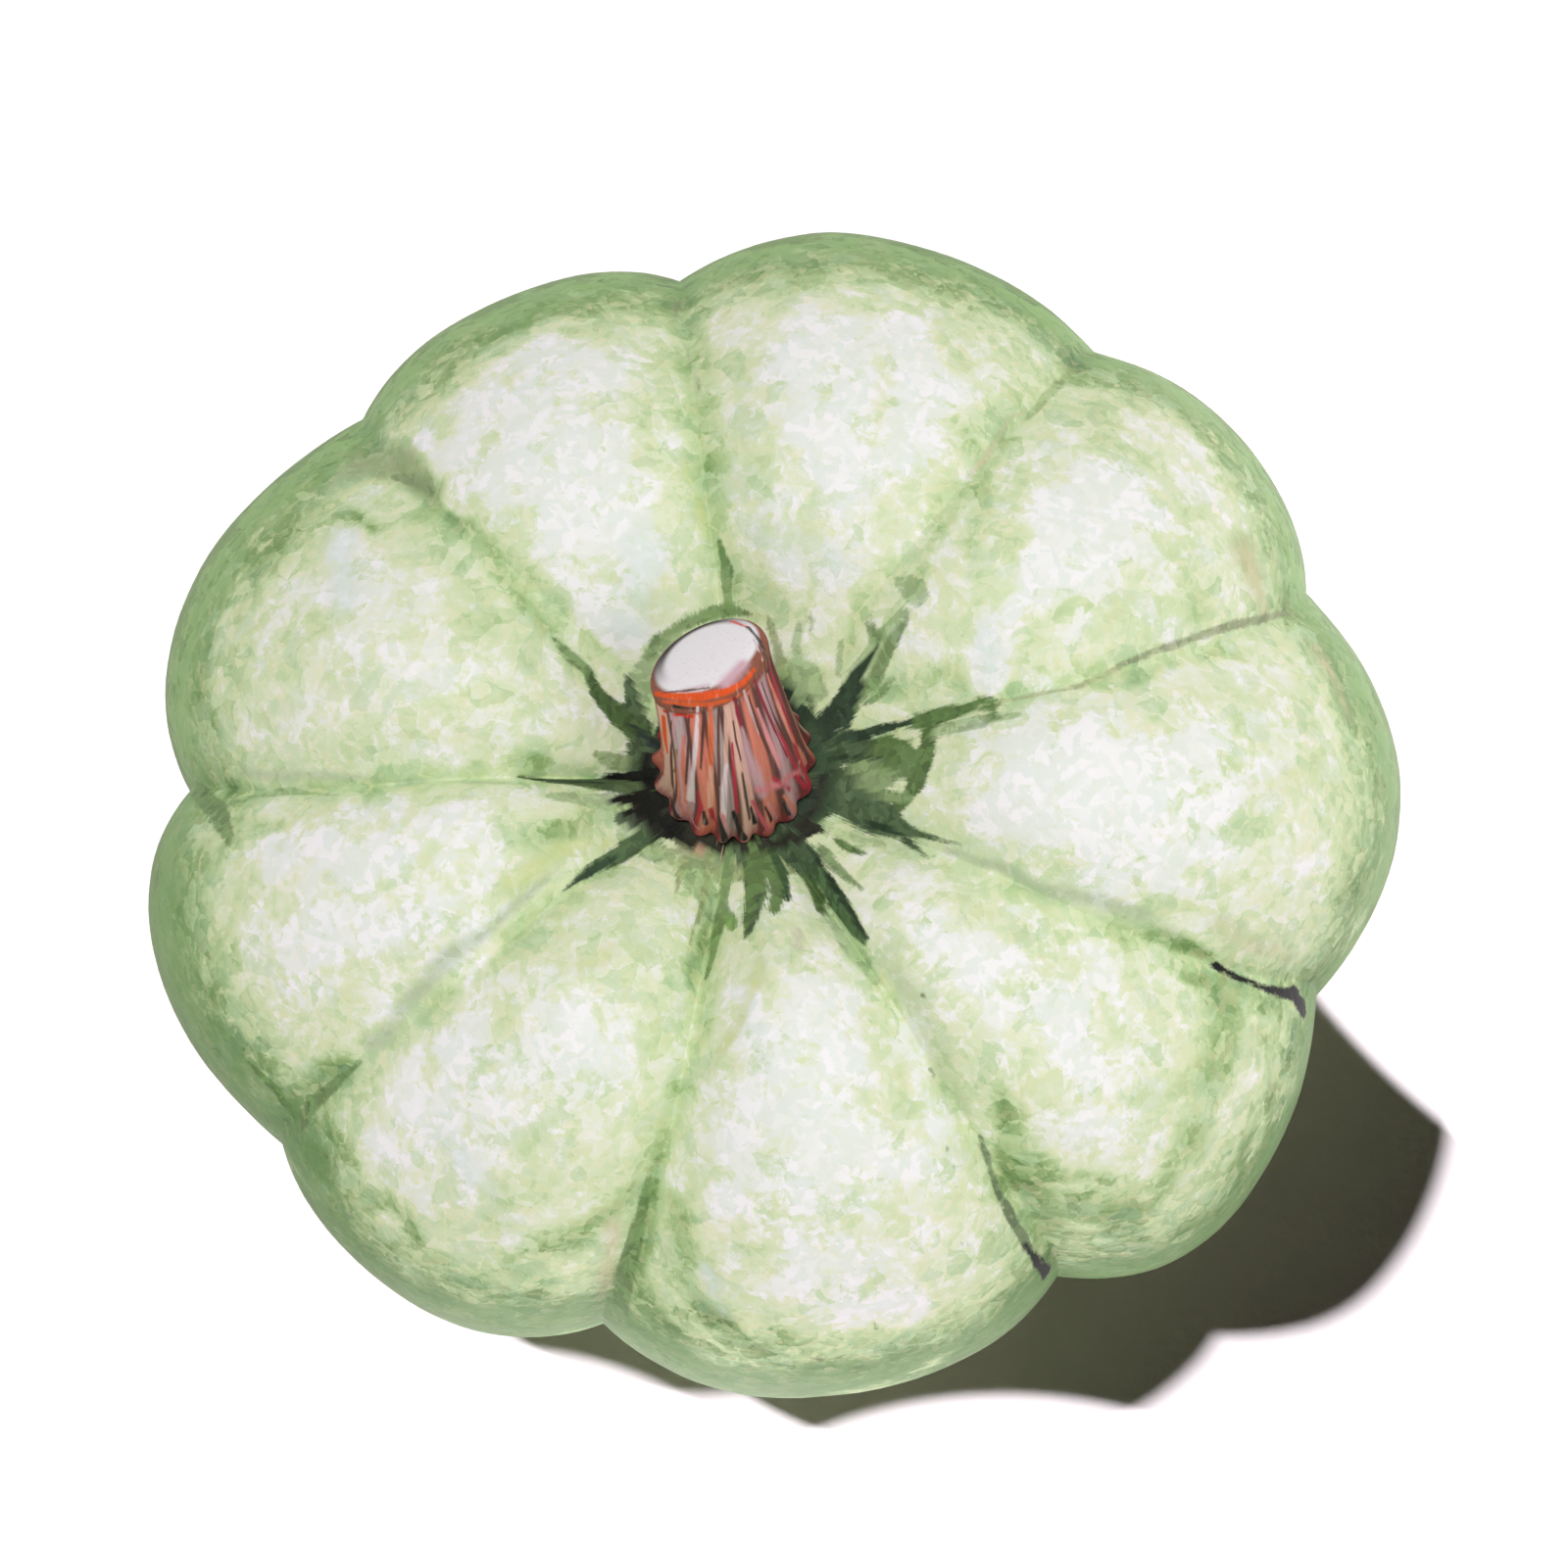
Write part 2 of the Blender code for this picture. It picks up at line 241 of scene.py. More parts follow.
class Finish:
    """A material while it is put together."""

    def __init__(self, name):
        self.material = bpy.data.materials.new(name)
        self.material.use_nodes = True
        self.nodes = self.material.node_tree.nodes
        self.shader = self.nodes["Principled BSDF"]

    def feed(self, socket, value):
        """Links a value to a socket, or sets the socket to a number or colour."""
        if isinstance(value, Value):
            self.material.node_tree.links.new(value.socket, socket)
        elif socket.type == "RGBA":
            socket.default_value = (*value, 1)
        else:
            socket.default_value = value

    def add(self, kind, settings=None, sockets=None, output=0):
        """Adds a node, with its settings first, and gives back one of its outputs as a Value."""
        node = self.nodes.new(kind)
        for name, setting in (settings or {}).items():
            setattr(node, name, setting)
        inputs = [s for s in node.inputs if s.enabled]
        for key, value in (sockets or {}).items():
            named = [s for s in inputs if s.name == key]
            self.feed(named[0] if named else inputs[key], value)
        outputs = [s for s in node.outputs if s.enabled]
        return Value(self, outputs[output] if isinstance(output, int) else node.outputs[output])

    def end(self, **sockets):
        """Feeds the shader. A name such as Base_Color stands for the socket Base Color."""
        for name, value in sockets.items():
            self.feed(self.shader.inputs[name.replace("_", " ")], value)

    def stored(self, name, output="Fac"):
        return self.add("ShaderNodeAttribute", {"attribute_name": name}, output=output)

    def place(self):
        return self.add("ShaderNodeTexCoord", output="Object")

    def noise(self, where, scale, detail=2.0, output="Fac", rough=0.5):
        sockets = {"Vector": where, "Scale": scale, "Detail": detail, "Roughness": rough}
        return self.add("ShaderNodeTexNoise", None, sockets, output)

    def strokes(self, where, scale, turns, length=2.6):
        """A random colour in each stroke of a flat brush. Strokes run several ways and overlap."""
        top = None
        for turn in turns:
            sockets = {"Vector": where, "Rotation": (0, 0, math.radians(turn)), "Scale": (length, 1, 1)}
            turned = self.add("ShaderNodeMapping", {"vector_type": "TEXTURE"}, sockets)
            layer = self.add("ShaderNodeTexVoronoi", None, {"Vector": turned, "Scale": scale}, "Color")
            if top is None:
                top = layer
            else:
                over = self.channel(layer, 1).math("GREATER_THAN", self.channel(top, 1))
                top = self.mix(over, top, layer)
        return top

    def channel(self, colour, index):
        return self.add("ShaderNodeSeparateColor", None, {"Color": colour}, index)

    def rise(self, value, start, end):
        """0 before start, 1 after end, and a smooth rise between them."""
        sockets = {"Value": value, "From Min": start, "From Max": end}
        return self.add("ShaderNodeMapRange", {"interpolation_type": "SMOOTHSTEP"}, sockets)

    def mix(self, share, first, second, blend="MIX"):
        settings = {"data_type": "RGBA", "blend_type": blend}
        return self.add("ShaderNodeMix", settings, {"Factor": share, "A": first, "B": second})

    def shift(self, where, by, amount):
        """A place moved by a random colour, so that straight edges in a pattern waver."""
        amounts = {0: by, 1: (amount,) * 3, 2: where}
        return self.add("ShaderNodeVectorMath", {"operation": "MULTIPLY_ADD"}, amounts)

    def ramp(self, value, stops):
        """A colour for each level, given as (level, colour) pairs from low to high."""
        result = self.add("ShaderNodeValToRGB", None, {"Fac": value}, "Color")
        elements = result.socket.node.color_ramp.elements
        for number, (level, colour) in enumerate(stops):
            element = elements[number] if number < 2 else elements.new(level)
            element.position = level
            element.color = (*colour, 1)
        return result

    def bump(self, height, depth):
        return self.add("ShaderNodeBump", None, {"Distance": depth, "Height": height}, "Normal")


def paint(red, green, blue):
    """A colour as it shows on a screen, from 0 to 255, in the linear light of the shaders."""
    shares = (red / 255, green / 255, blue / 255)
    return tuple(s / 12.92 if s <= 0.04045 else ((s + 0.055) / 1.055) ** 2.4 for s in shares)


# %% [markdown]
# The floor is matt, pale grey card, lit until it shows as white, because a whiter card would throw
# more light into the shadow. It is not part of the squash, but it still gets a faint tooth.

# %% Floor finish
card = Finish("pale_card")
tooth = card.noise(card.place(), 400)
card.end(
    Base_Color=card.mix(tooth, paint(191, 183, 188), paint(195, 187, 192)),
    Roughness=0.9,
    Normal=card.bump(tooth, 0.0001),
)
floor.data.materials.append(card.material)

# %% [markdown]
# ## A finer copy of each solid
#
# The frame's solids are faceted. Modelling the form again would only risk losing it,
# so each piece starts as a copy of its solid. The copy's loose triangles are merged and joined back
# into the quads that they were cut from. Then Subdivision Surface rounds the form between them.

# %% Copy a node as a mesh of quads
SAME_PLACE = 1e-6
POLE_EDGES = 20  # a vertex with more is the middle of a fan, and its triangles stay


def pick_only(piece):
    bpy.ops.object.select_all(action="DESELECT")
    piece.select_set(True)
    bpy.context.view_layer.objects.active = piece


def select_in_edit_mode(piece, kind, wanted):
    """Selects the faces or edges that pass a test, in edit mode, and counts them."""
    bpy.ops.mesh.select_all(action="DESELECT")
    bpy.ops.mesh.select_mode(type={"faces": "FACE", "edges": "EDGE"}[kind])
    mesh = bmesh.from_edit_mesh(piece.data)
    chosen = [element for element in getattr(mesh, kind) if wanted(element)]
    for element in chosen:
        element.select_set(True)
    bmesh.update_edit_mesh(piece.data)
    return len(chosen)


def is_beside_no_pole(face):
    return not any(len(vertex.link_edges) > POLE_EDGES for vertex in face.verts)


def quads_of(node, name, is_flat):
    """A copy of a CAD node in which the flats are single faces, and the rest is quads."""
    pick_only(frame["nodes"][node])
    bpy.ops.object.duplicate()
    piece = bpy.context.object
    piece.name = name
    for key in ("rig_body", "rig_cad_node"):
        del piece[key]
    piece.data.name = name
    piece.data.materials.clear()
    bpy.ops.mesh.customdata_custom_splitnormals_clear()
    bpy.ops.object.mode_set(mode="EDIT")
    bpy.ops.mesh.select_all(action="SELECT")
    bpy.ops.mesh.remove_doubles(threshold=SAME_PLACE)
    select_in_edit_mode(piece, "faces", is_flat)
    bpy.ops.mesh.dissolve_faces()
    select_in_edit_mode(piece, "faces", is_beside_no_pole)
    bpy.ops.mesh.tris_convert_to_quads(face_threshold=math.pi, shape_threshold=math.pi)
    bpy.ops.object.mode_set(mode="OBJECT")
    bpy.ops.object.shade_smooth()
    print(name, "has", len(piece.data.polygons), "faces before it is subdivided")
    return piece


def stand_for(piece, node):
    """The piece is shown in place of the node, and gets the light for the squash."""
    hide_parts(node)
    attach(piece, "root")
    lit_squash.objects.link(piece)


def subdivide(piece, levels):
    pick_only(piece)
    rounding = piece.modifiers.new("rounding", "SUBSURF")
    rounding.levels = rounding.render_levels = levels
    bpy.ops.object.modifier_apply(modifier=rounding.name)
    piece.data.calc_loop_triangles()
    print(piece.name, "now has", len(piece.data.loop_triangles), "triangles")


# %% [markdown]
# ## The rind's form
#
# The rind is one closed skin. Its flats are the spots it lies on, the seat under the stem and the scar.
# Only in the grooves between the lobes does the skin fold inwards along a line down the side.
# A crease keeps them narrow while the subdivision rounds everything else.
# A real fruit is never quite even, so a low, slow displacement dents it a little.

# %% Rind
SEAT_CENTRE = Vector((-7.33, -3.39, 95.0)) * MM
SEAT_REACH = 12 * MM
LEVEL = 0.9999  # how upright the normal of a flat is
RESTING_BELOW = 0.01 * MM
GROOVE_FOLD = math.radians(-4)
MOST_ROUND_THE_FRUIT = 0.5  # a groove runs out from the seat and not round it
GROOVE_CREASE = 0.62
DENTS = 0.5 * MM
DENT_SIZE = 16 * MM


def out_from_seat(point):
    return Vector((point.x - SEAT_CENTRE.x, point.y - SEAT_CENTRE.y, 0))


def is_flat_of_fruit(face):
    middle = face.calc_center_median()
    resting = middle.z < RESTING_BELOW
    return abs(face.normal.z) > LEVEL and (resting or out_from_seat(middle).length < SEAT_REACH)


def is_groove(edge):
    """True where the skin folds inwards along a line that runs out and down from the seat."""
    middle = (edge.verts[0].co + edge.verts[1].co) / 2
    out = out_from_seat(middle)
    run = (edge.verts[1].co - edge.verts[0].co).normalized()
    round_the_fruit = Vector((-out.y, out.x, 0)).normalized()
    folded = edge.is_manifold and edge.calc_face_angle_signed() < GROOVE_FOLD
    return folded and out.length > SEAT_REACH and abs(run.dot(round_the_fruit)) < MOST_ROUND_THE_FRUIT


rind = quads_of("fruit", "rind", is_flat_of_fruit)
bpy.ops.object.mode_set(mode="EDIT")
print("groove edges:", select_in_edit_mode(rind, "edges", is_groove))
groove_lines = [
    tuple(vertex.co.copy() for vertex in edge.verts)
    for edge in bmesh.from_edit_mesh(rind.data).edges
    if edge.select
]
bpy.ops.transform.edge_crease(value=GROOVE_CREASE)
bpy.ops.object.mode_set(mode="OBJECT")
subdivide(rind, 2)

dent_pattern = bpy.data.textures.new("dents", "CLOUDS")
dent_pattern.noise_scale = DENT_SIZE
dents = rind.modifiers.new("dents", "DISPLACE")
dents.texture = dent_pattern
dents.strength = DENTS
dents.mid_level = 0.5
bpy.ops.object.modifier_apply(modifier=dents.name)
for vertex in rind.data.vertices:
    vertex.co.z = max(vertex.co.z, 0.0)

# %% [markdown]
# ## Laying colour on by touches
#
# The rind has patches of pale wax bloom on green skin, with dark streaks round the stem. Noise alone
# would put nothing in its place, so they are laid on as a painter lays them, touch by touch,
# and the finish breaks up their edges. A touch is a row of three or four things: its path as x,y pixels
# of the picture, which the camera's sight carries onto the skin; its half-widths
# in pixels, evenly spaced from start to end; the level or colour that it leaves; and sometimes
# the share of the half-width over which it fades out.

# %% Touches of the brush
PATH_STEP = 14  # pixels between the points of a path that are looked up on the skin
USUAL_FADE = 0.8
TINY = 1e-12
HAND_SEED = 7
seed_set(HAND_SEED)  # so that the hand wavers the same way in each run


def of_vertices(piece, field):
    """The place or the normal of each vertex."""
    vectors = np.empty(len(piece.data.vertices) * 3)
    piece.data.vertices.foreach_get(field, vectors)
    return vectors.reshape(-1, 3)


def laid_path(piece, path, widths):
    """[(point on the piece, half-width in metres), ...] along a touch."""
    corners = list(zip(path[::2], path[1::2]))
    pixels = []
    for start, end in zip(corners, corners[1:]):
        steps = max(1, round(math.dist(start, end) / PATH_STEP))
        pixels += [np.add(start, np.subtract(end, start) * i / steps) for i in range(steps)]
    pixels.append(corners[-1])
    along = np.linspace(0, 1, len(pixels))
    line = []
    for pixel, half_width in zip(pixels, np.interp(along, np.linspace(0, 1, len(widths)), widths)):
        point = seen_at(piece, pixel)
        if point is not None:
            line.append((np.array(point), half_width * PIXEL))
    if not line:
        print("a touch at", path, "misses", piece.name)
    return line if len(line) > 1 else line * 2


def inside(places, line):
    """How far inside a laid path each place is, less than 0 outside, and the half-width there, in metres."""
    deepest = np.full(len(places), -1.0)
    width_there = np.ones(len(places))
    for (start, start_width), (end, end_width) in zip(line, line[1:]):
        run = end - start
        share = np.clip((places - start) @ run / max(run @ run, TINY), 0, 1)
        away = np.linalg.norm(places - start - share[:, None] * run, axis=1)
        width = start_width + (end_width - start_width) * share
        closer = width - away > deepest
        deepest[closer] = (width - away)[closer]
        width_there[closer] = width[closer]
    return deepest, width_there


def by_hand(places, amount, size):
    """The places as a hand finds them: moved by slow noise, so that no touch has an even edge."""
    return places + amount * np.array([noise_vector(place / size) for place in places])


def smooth(share):
    share = np.clip(share, 0, 1)
    return share * share * (3 - 2 * share)


def lay_on(piece, places, level, touches, usual_fade=USUAL_FADE):
    """Pulls the level or colour of each place to what each touch leaves there, one after another."""
    for path, widths, leaves, *fade in touches:
        deep, width = inside(places, laid_path(piece, path, widths))
        share = smooth(deep / np.maximum(width * (fade[0] if fade else usual_fade), TINY))
        share = share[:, None] if level.ndim == 2 else share
        level = level + share * (np.array(leaves) - level)
    return level


def strokes_at(piece, places, strokes, most):
    """How far inside the strokes each place is, in millimetres down to -most, and its paint there."""
    deepest = np.full(len(places), -most)
    paints = np.zeros((len(places), 3))
    for path, widths, leaves in strokes:
        deep = inside(places, laid_path(piece, path, widths))[0] / MM
        paints[deep > np.minimum(deepest, 0)] = leaves
        deepest = np.maximum(deepest, deep)
    return deepest, paints


def store(piece, name, values, kind="FLOAT"):
    field = {"FLOAT": "value", "FLOAT_VECTOR": "vector", "FLOAT_COLOR": "color"}[kind]
    attribute = piece.data.attributes.new(name, kind, "POINT")
    attribute.data.foreach_set(field, np.ascontiguousarray(values, dtype=np.float32).ravel())


# %% [markdown]
# ## How pale the rind is
#
# One level says how pale the skin is: 0 is deep green, the middle is yellow green, and 1 is white bloom.
# Before any touch it follows the form. The shoulders are pale, and every groove is painted greener
# than its lobes, as shade in the fold. A rim of darker green painted shade runs along the outline that
# the camera sees, as wide as the picture has it in each direction, and it fades out below the girth.
# Then come the touches: first greener ones in a steady hand, and then the bloom with a looser one.
# Some of both are painted shade: round the stem's foot, in notches and low on the front and lower right
# lobes.

# %% Pale and green touches on the rind
places = of_vertices(rind, "co")
PARTS = 4  # an edge of a groove is looked up as this many points
groove_points = KDTree(len(groove_lines) * PARTS)
for number, (start, end) in enumerate(groove_lines):
    for part in range(PARTS):
        groove_points.insert(start.lerp(end, part / PARTS), number * PARTS + part)
groove_points.balance()
from_groove = np.array([groove_points.find(place)[2] for place in places])
height = places[:, 2]

FRUIT_CENTRE = (790, 830)  # its middle in the picture
# The rim is painted shade along the outline, widest on the left and lower left.
RIM_WIDTHS = (  # (direction from the middle in degrees, width of the rim and of its soft edge in pixels)
    (0, 25, 44), (25, 24, 50), (35, 18, 40), (58, 18, 40), (66, 20, 46), (98, 22, 44), (106, 28, 50),
    (135, 26, 44), (144, 34, 70), (175, 32, 70), (184, 44, 70), (217, 46, 60), (223, 28, 50), (231, 30, 50),
    (239, 46, 60), (257, 46, 60), (268, 34, 50), (292, 28, 50), (304, 26, 70), (318, 18, 50), (334, 12, 50),
    (345, 18, 50), (360, 25, 44),
)
RIM_SHADE_LEVEL = 0.22
RIM_CORE = 0.8  # share of the rim's width before its soft edge
RIM_WAVER = 6  # in pixels
SHOULDER_LEVEL = 0.57
GROOVE_SHADE = 0.12
GROOVE_SPREAD = 6 * MM
UNDERSIDE_LEVEL = 0.46
GIRTH_HEIGHT = 50 * MM  # the rim fades out from here down
GIRTH_WAVER = 6
GIRTH_REACH = 0.6  # share of the rim's width in which it does so
NO_RIM = 3  # so many rim widths from the outline there is no rim
STEADY = 2 * MM

steady = by_hand(places, STEADY, 9 * MM)
unsteady = by_hand(by_hand(places, 6 * MM, 22 * MM), 4 * MM, 8 * MM)
out = places[:, :2] - np.array(SEAT_CENTRE[:2])
radius = np.linalg.norm(out, axis=1)

sight = places - np.array(camera.location)
scale = SIGHT_LENGTH / -(sight @ np.array(BACK))
right = sight @ np.array(RIGHT) * scale + PICTURE_WIDE / 2 - FRUIT_CENTRE[0]
up = sight @ np.array(UP) * scale - PICTURE_HIGH / 2 + FRUIT_CENTRE[1]
direction = np.degrees(np.arctan2(up, right)) % 360
reach = np.hypot(right, up)
outline = np.zeros(360)
np.maximum.at(outline, direction.astype(int) % 360, reach)
inward = np.interp(direction, np.arange(360) + 0.5, outline, period=360) - reach
faces_camera = of_vertices(rind, "normal") @ np.array(BACK) > 0
inward = np.where(faces_camera, inward, -inward) + RIM_WAVER * (steady - places)[:, 0] / STEADY
around_rim, rim_widths, soft_widths = zip(*RIM_WIDTHS)
rim_width = np.interp(direction, around_rim, rim_widths)
soft_width = np.interp(direction, around_rim, soft_widths)
pale = RIM_SHADE_LEVEL + (SHOULDER_LEVEL - RIM_SHADE_LEVEL) * smooth((inward - rim_width * RIM_CORE) / soft_width)
pale += (UNDERSIDE_LEVEL - RIM_SHADE_LEVEL) * smooth(1 - height / GIRTH_HEIGHT)
# Painted shade in the grooves.
pale -= GROOVE_SHADE * smooth(1 - from_groove / GROOVE_SPREAD)
below_girth = smooth((GIRTH_HEIGHT + GIRTH_WAVER * (unsteady - places)[:, 2] - height) / GIRTH_HEIGHT)
at_girth = below_girth * (inward < GIRTH_REACH * rim_width)
store(rind, "rim", np.maximum(inward / rim_width, 0) + NO_RIM * at_girth)

# Some greener touches are painted shade: round the stem's foot, in two notches, low on the front lobes.
RIMS = (
    ((470,385, 540,335, 640,325), (16, 14), 0.46),
    ((720,310, 790,290, 920,285, 1000,320), (20, 18, 14, 10), 0.42),
    ((350,492, 400,478, 440,500), (24, 20), 0.28, 0.7),
    ((240,600, 228,700, 240,760), (26, 30, 20), 0.46, 0.9),
    ((800,690, 836,756, 832,812, 790,850, 700,848, 664,810, 660,750), (10, 20, 12, 18), 0.2, 0.9),
    ((712,320, 716,420, 730,520, 746,600), (26, 30, 28, 24), 0.36, 0.9),
    ((1080,385, 1040,425, 985,510, 935,590, 900,650), (14, 14, 12, 12, 12), 0.4, 0.9),
    ((410,455, 470,530, 530,610, 600,690), (22, 22, 20, 20), 0.34, 0.9),
    ((730,1000, 700,1090, 672,1180, 650,1260), (22, 20, 20, 18), 0.42, 0.9),
    ((672,1190, 662,1250, 650,1300), (15, 19, 20), 0.26, 0.9), ((640,1290, 628,1350), (22, 28), 0.22, 0.9),
    ((350,1085, 310,1130), (26, 32), 0.2, 0.9),
    ((1020,1120, 1050,1190, 1080,1260, 1160,1262), (20, 34, 34, 24), 0.24, 0.9),
    ((690,1230, 700,1310, 760,1375), (30, 34, 22), 0.32),
    ((724,1345, 760,1372, 810,1396), (26, 24, 12), 0.12),
    ((520,1300, 590,1262, 630,1230), (26, 30, 20), 0.3),
    ((500,856, 560,850, 610,836, 650,820), (14, 28, 26, 14), 0.36), ((450,700, 490,750), (20, 22), 0.46),
    ((900,705, 960,692, 1000,704), (22, 20, 16), 0.4), ((728,950, 716,1046), (24, 22), 0.38),
    ((220,822, 270,846), (22, 24), 0.3), ((1270,560, 1290,620), (26, 20), 0.42),
    ((1190,985, 1260,1008, 1310,1032), (10, 15, 16), 0.24),
)
# Touches here with low levels are painted shade, on the lower right lobe and low on the front lobes.
BLOOM_AND_SHADE = (
    # top left lobe
    ((490,385, 478,440, 496,500), (36, 48, 38), 0.82, 0.6),
    ((560,365, 575,450, 605,550, 650,640), (56, 84, 72, 34), 0.86, 0.5),
    ((610,360, 650,420), (30, 26), 0.8, 0.6), ((433,434, 455,442), (11, 9), 0.98, 0.5),
    ((585,388, 600,400), (16, 12), 0.5, 0.6), ((716,340, 730,460, 742,560), (18, 20), 0.4),
    # top right lobe
    ((772,340, 782,400, 792,440), (20, 24, 18), 0.72), ((804,520, 810,590, 806,640), (28, 28, 14), 0.74),
    ((930,500, 900,570), (24, 18), 0.62), ((960,430, 985,470), (26, 22), 0.58),
    ((862,470, 866,560, 856,656), (54, 42, 24), 0.68, 0.5),
    ((830,335, 840,400, 850,450), (56, 74, 60), 0.88, 0.5),
    ((925,345, 948,400, 920,460), (36, 50, 40), 0.88, 0.5), ((935,470, 915,550), (34, 26), 0.64),
    ((1020,350, 1060,390, 1010,430), (34, 26, 22), 0.5),
    # right upper lobe
    ((1150,500, 1105,540, 1070,595), (74, 78, 46), 0.88, 0.5), ((1016,628, 1004,684), (38, 32), 0.86, 0.5),
    ((1190,440, 1250,500, 1270,540), (40, 40, 30), 0.7), ((1080,660, 1180,640), (26, 30), 0.6),
    ((1000,450, 985,540, 972,600), (20, 18, 14), 0.36), ((1225,570, 1210,620), (24, 22), 0.52),
    # right lobe
    ((1060,742, 1180,712, 1310,700), (32, 40, 34), 0.7), ((1290,790, 1330,820), (34, 36), 0.64, 0.6),
    ((1008,832, 1090,792, 1170,795, 1255,772), (34, 56, 62, 44), 0.9, 0.5),
    ((1130,852, 1200,866, 1290,868), (40, 40, 34), 0.84, 0.5), ((1310,890, 1350,870), (36, 26), 0.8),
    ((1080,886, 1200,906, 1310,912), (24, 30, 24), 0.8),
    # right lower lobe, whose right side is in painted shade
    ((1060,878, 1110,898, 1180,920), (16, 18, 14), 0.68),
    ((955,940, 1040,1020, 1120,1100), (30, 58, 50), 0.84, 0.5), ((1090,980, 1150,1030), (34, 32), 0.76, 0.5),
    ((1180,1030, 1175,1110), (30, 28), 0.6), ((1095,1116, 1160,1136), (32, 28), 0.74),
    ((1262,1016, 1284,1076), (22, 24), 0.32),
    ((1230,1008, 1242,1085, 1206,1180, 1130,1240), (34, 34, 42), 0.32),
    ((1286,1126, 1272,1180), (15, 17), 0.5), ((1050,1170, 1076,1230, 1150,1240), (24, 42, 36), 0.22),
    ((1100,1196, 1150,1200), (24, 22), 0.34), ((1160,960, 1215,968), (12, 12), 0.26, 0.6),
    # front lobe
    ((830,1010, 828,1110, 845,1200), (44, 90, 110), 0.82, 0.5), ((860,1220, 880,1310), (116, 84), 0.78, 0.5),
    ((775,1170, 768,1262), (28, 26), 0.74), ((940,1260, 930,1340), (56, 34), 0.72),
    ((840,1352, 920,1352), (22, 26), 0.66),
    ((925,1040, 950,1130, 965,1220, 960,1290), (34, 34, 30, 26), 0.72),
    ((768,1030, 764,1090, 750,1170, 756,1250), (30, 38, 40, 36), 0.84),
    ((1005,1230, 1010,1300), (18, 14), 0.46), ((986,1290, 950,1340), (20, 20), 0.7),
    ((716,1330, 752,1366, 800,1390), (26, 30, 18), 0.12), ((862,972, 882,1030), (13, 13), 0.52),
    ((700,890, 720,945, 722,1000), (22, 18, 12), 0.34), ((722,1296, 730,1330), (10, 12), 0.8, 0.6),
    # front left lobe
    ((612,1040, 545,1088, 502,1150, 500,1190), (46, 60, 56, 36), 0.78, 0.5),
    ((630,1080, 600,1150), (34, 42), 0.7, 0.6),
    ((500,1000, 468,1070, 428,1130, 424,1200, 470,1240), (28, 36, 34, 34, 28), 0.75),
    ((506,970, 484,1060, 472,1150, 474,1215), (20, 28, 28, 22), 0.84), ((500,1240, 560,1220), (30, 24), 0.5),
    ((570,985, 620,962, 670,950), (26, 26, 20), 0.64), ((690,1010, 676,1120), (22, 16), 0.46),
    ((352,1116, 364,1196, 410,1268), (26, 32, 20), 0.26),
    ((560,1290, 612,1262, 650,1216), (24, 30, 22), 0.3),
    # left lower lobe
    ((290,965, 365,915, 480,885), (58, 76, 52), 0.76, 0.5),
    ((290,872, 360,848, 450,838), (26, 30, 28), 0.76, 0.5), ((310,1012, 385,1000), (36, 36), 0.64, 0.5),
    ((430,978, 505,930), (30, 26), 0.84), ((222,800, 238,850, 222,896), (26, 30, 22), 0.34),
    ((530,860, 560,900), (26, 24), 0.46), ((320,1062, 340,1070), (20, 16), 0.5),
    # left upper lobe
    ((345,570, 385,620, 440,665), (50, 60, 46), 0.74, 0.4),
    ((445,535, 465,590, 500,640), (22, 26, 24), 0.5, 0.5), ((300,715, 400,722, 540,705), (30, 40, 44), 0.66),
    ((478,765, 545,768), (13, 15), 0.38, 0.6), ((330,520, 430,545), (16, 14), 0.3),
    ((470,680, 490,715), (7, 9), 0.4, 0.6),
    # between lobes
    ((480,802, 560,806, 630,806), (10, 14, 14), 0.36), ((1150,690, 1240,664, 1330,650), (14, 18, 20), 0.42),
)
pale = lay_on(rind, unsteady, lay_on(rind, steady, pale, RIMS), BLOOM_AND_SHADE)
store(rind, "pale", pale)
print("touches of bloom:", len(BLOOM_AND_SHADE), "and the mean level is", round(float(pale.mean()), 2))
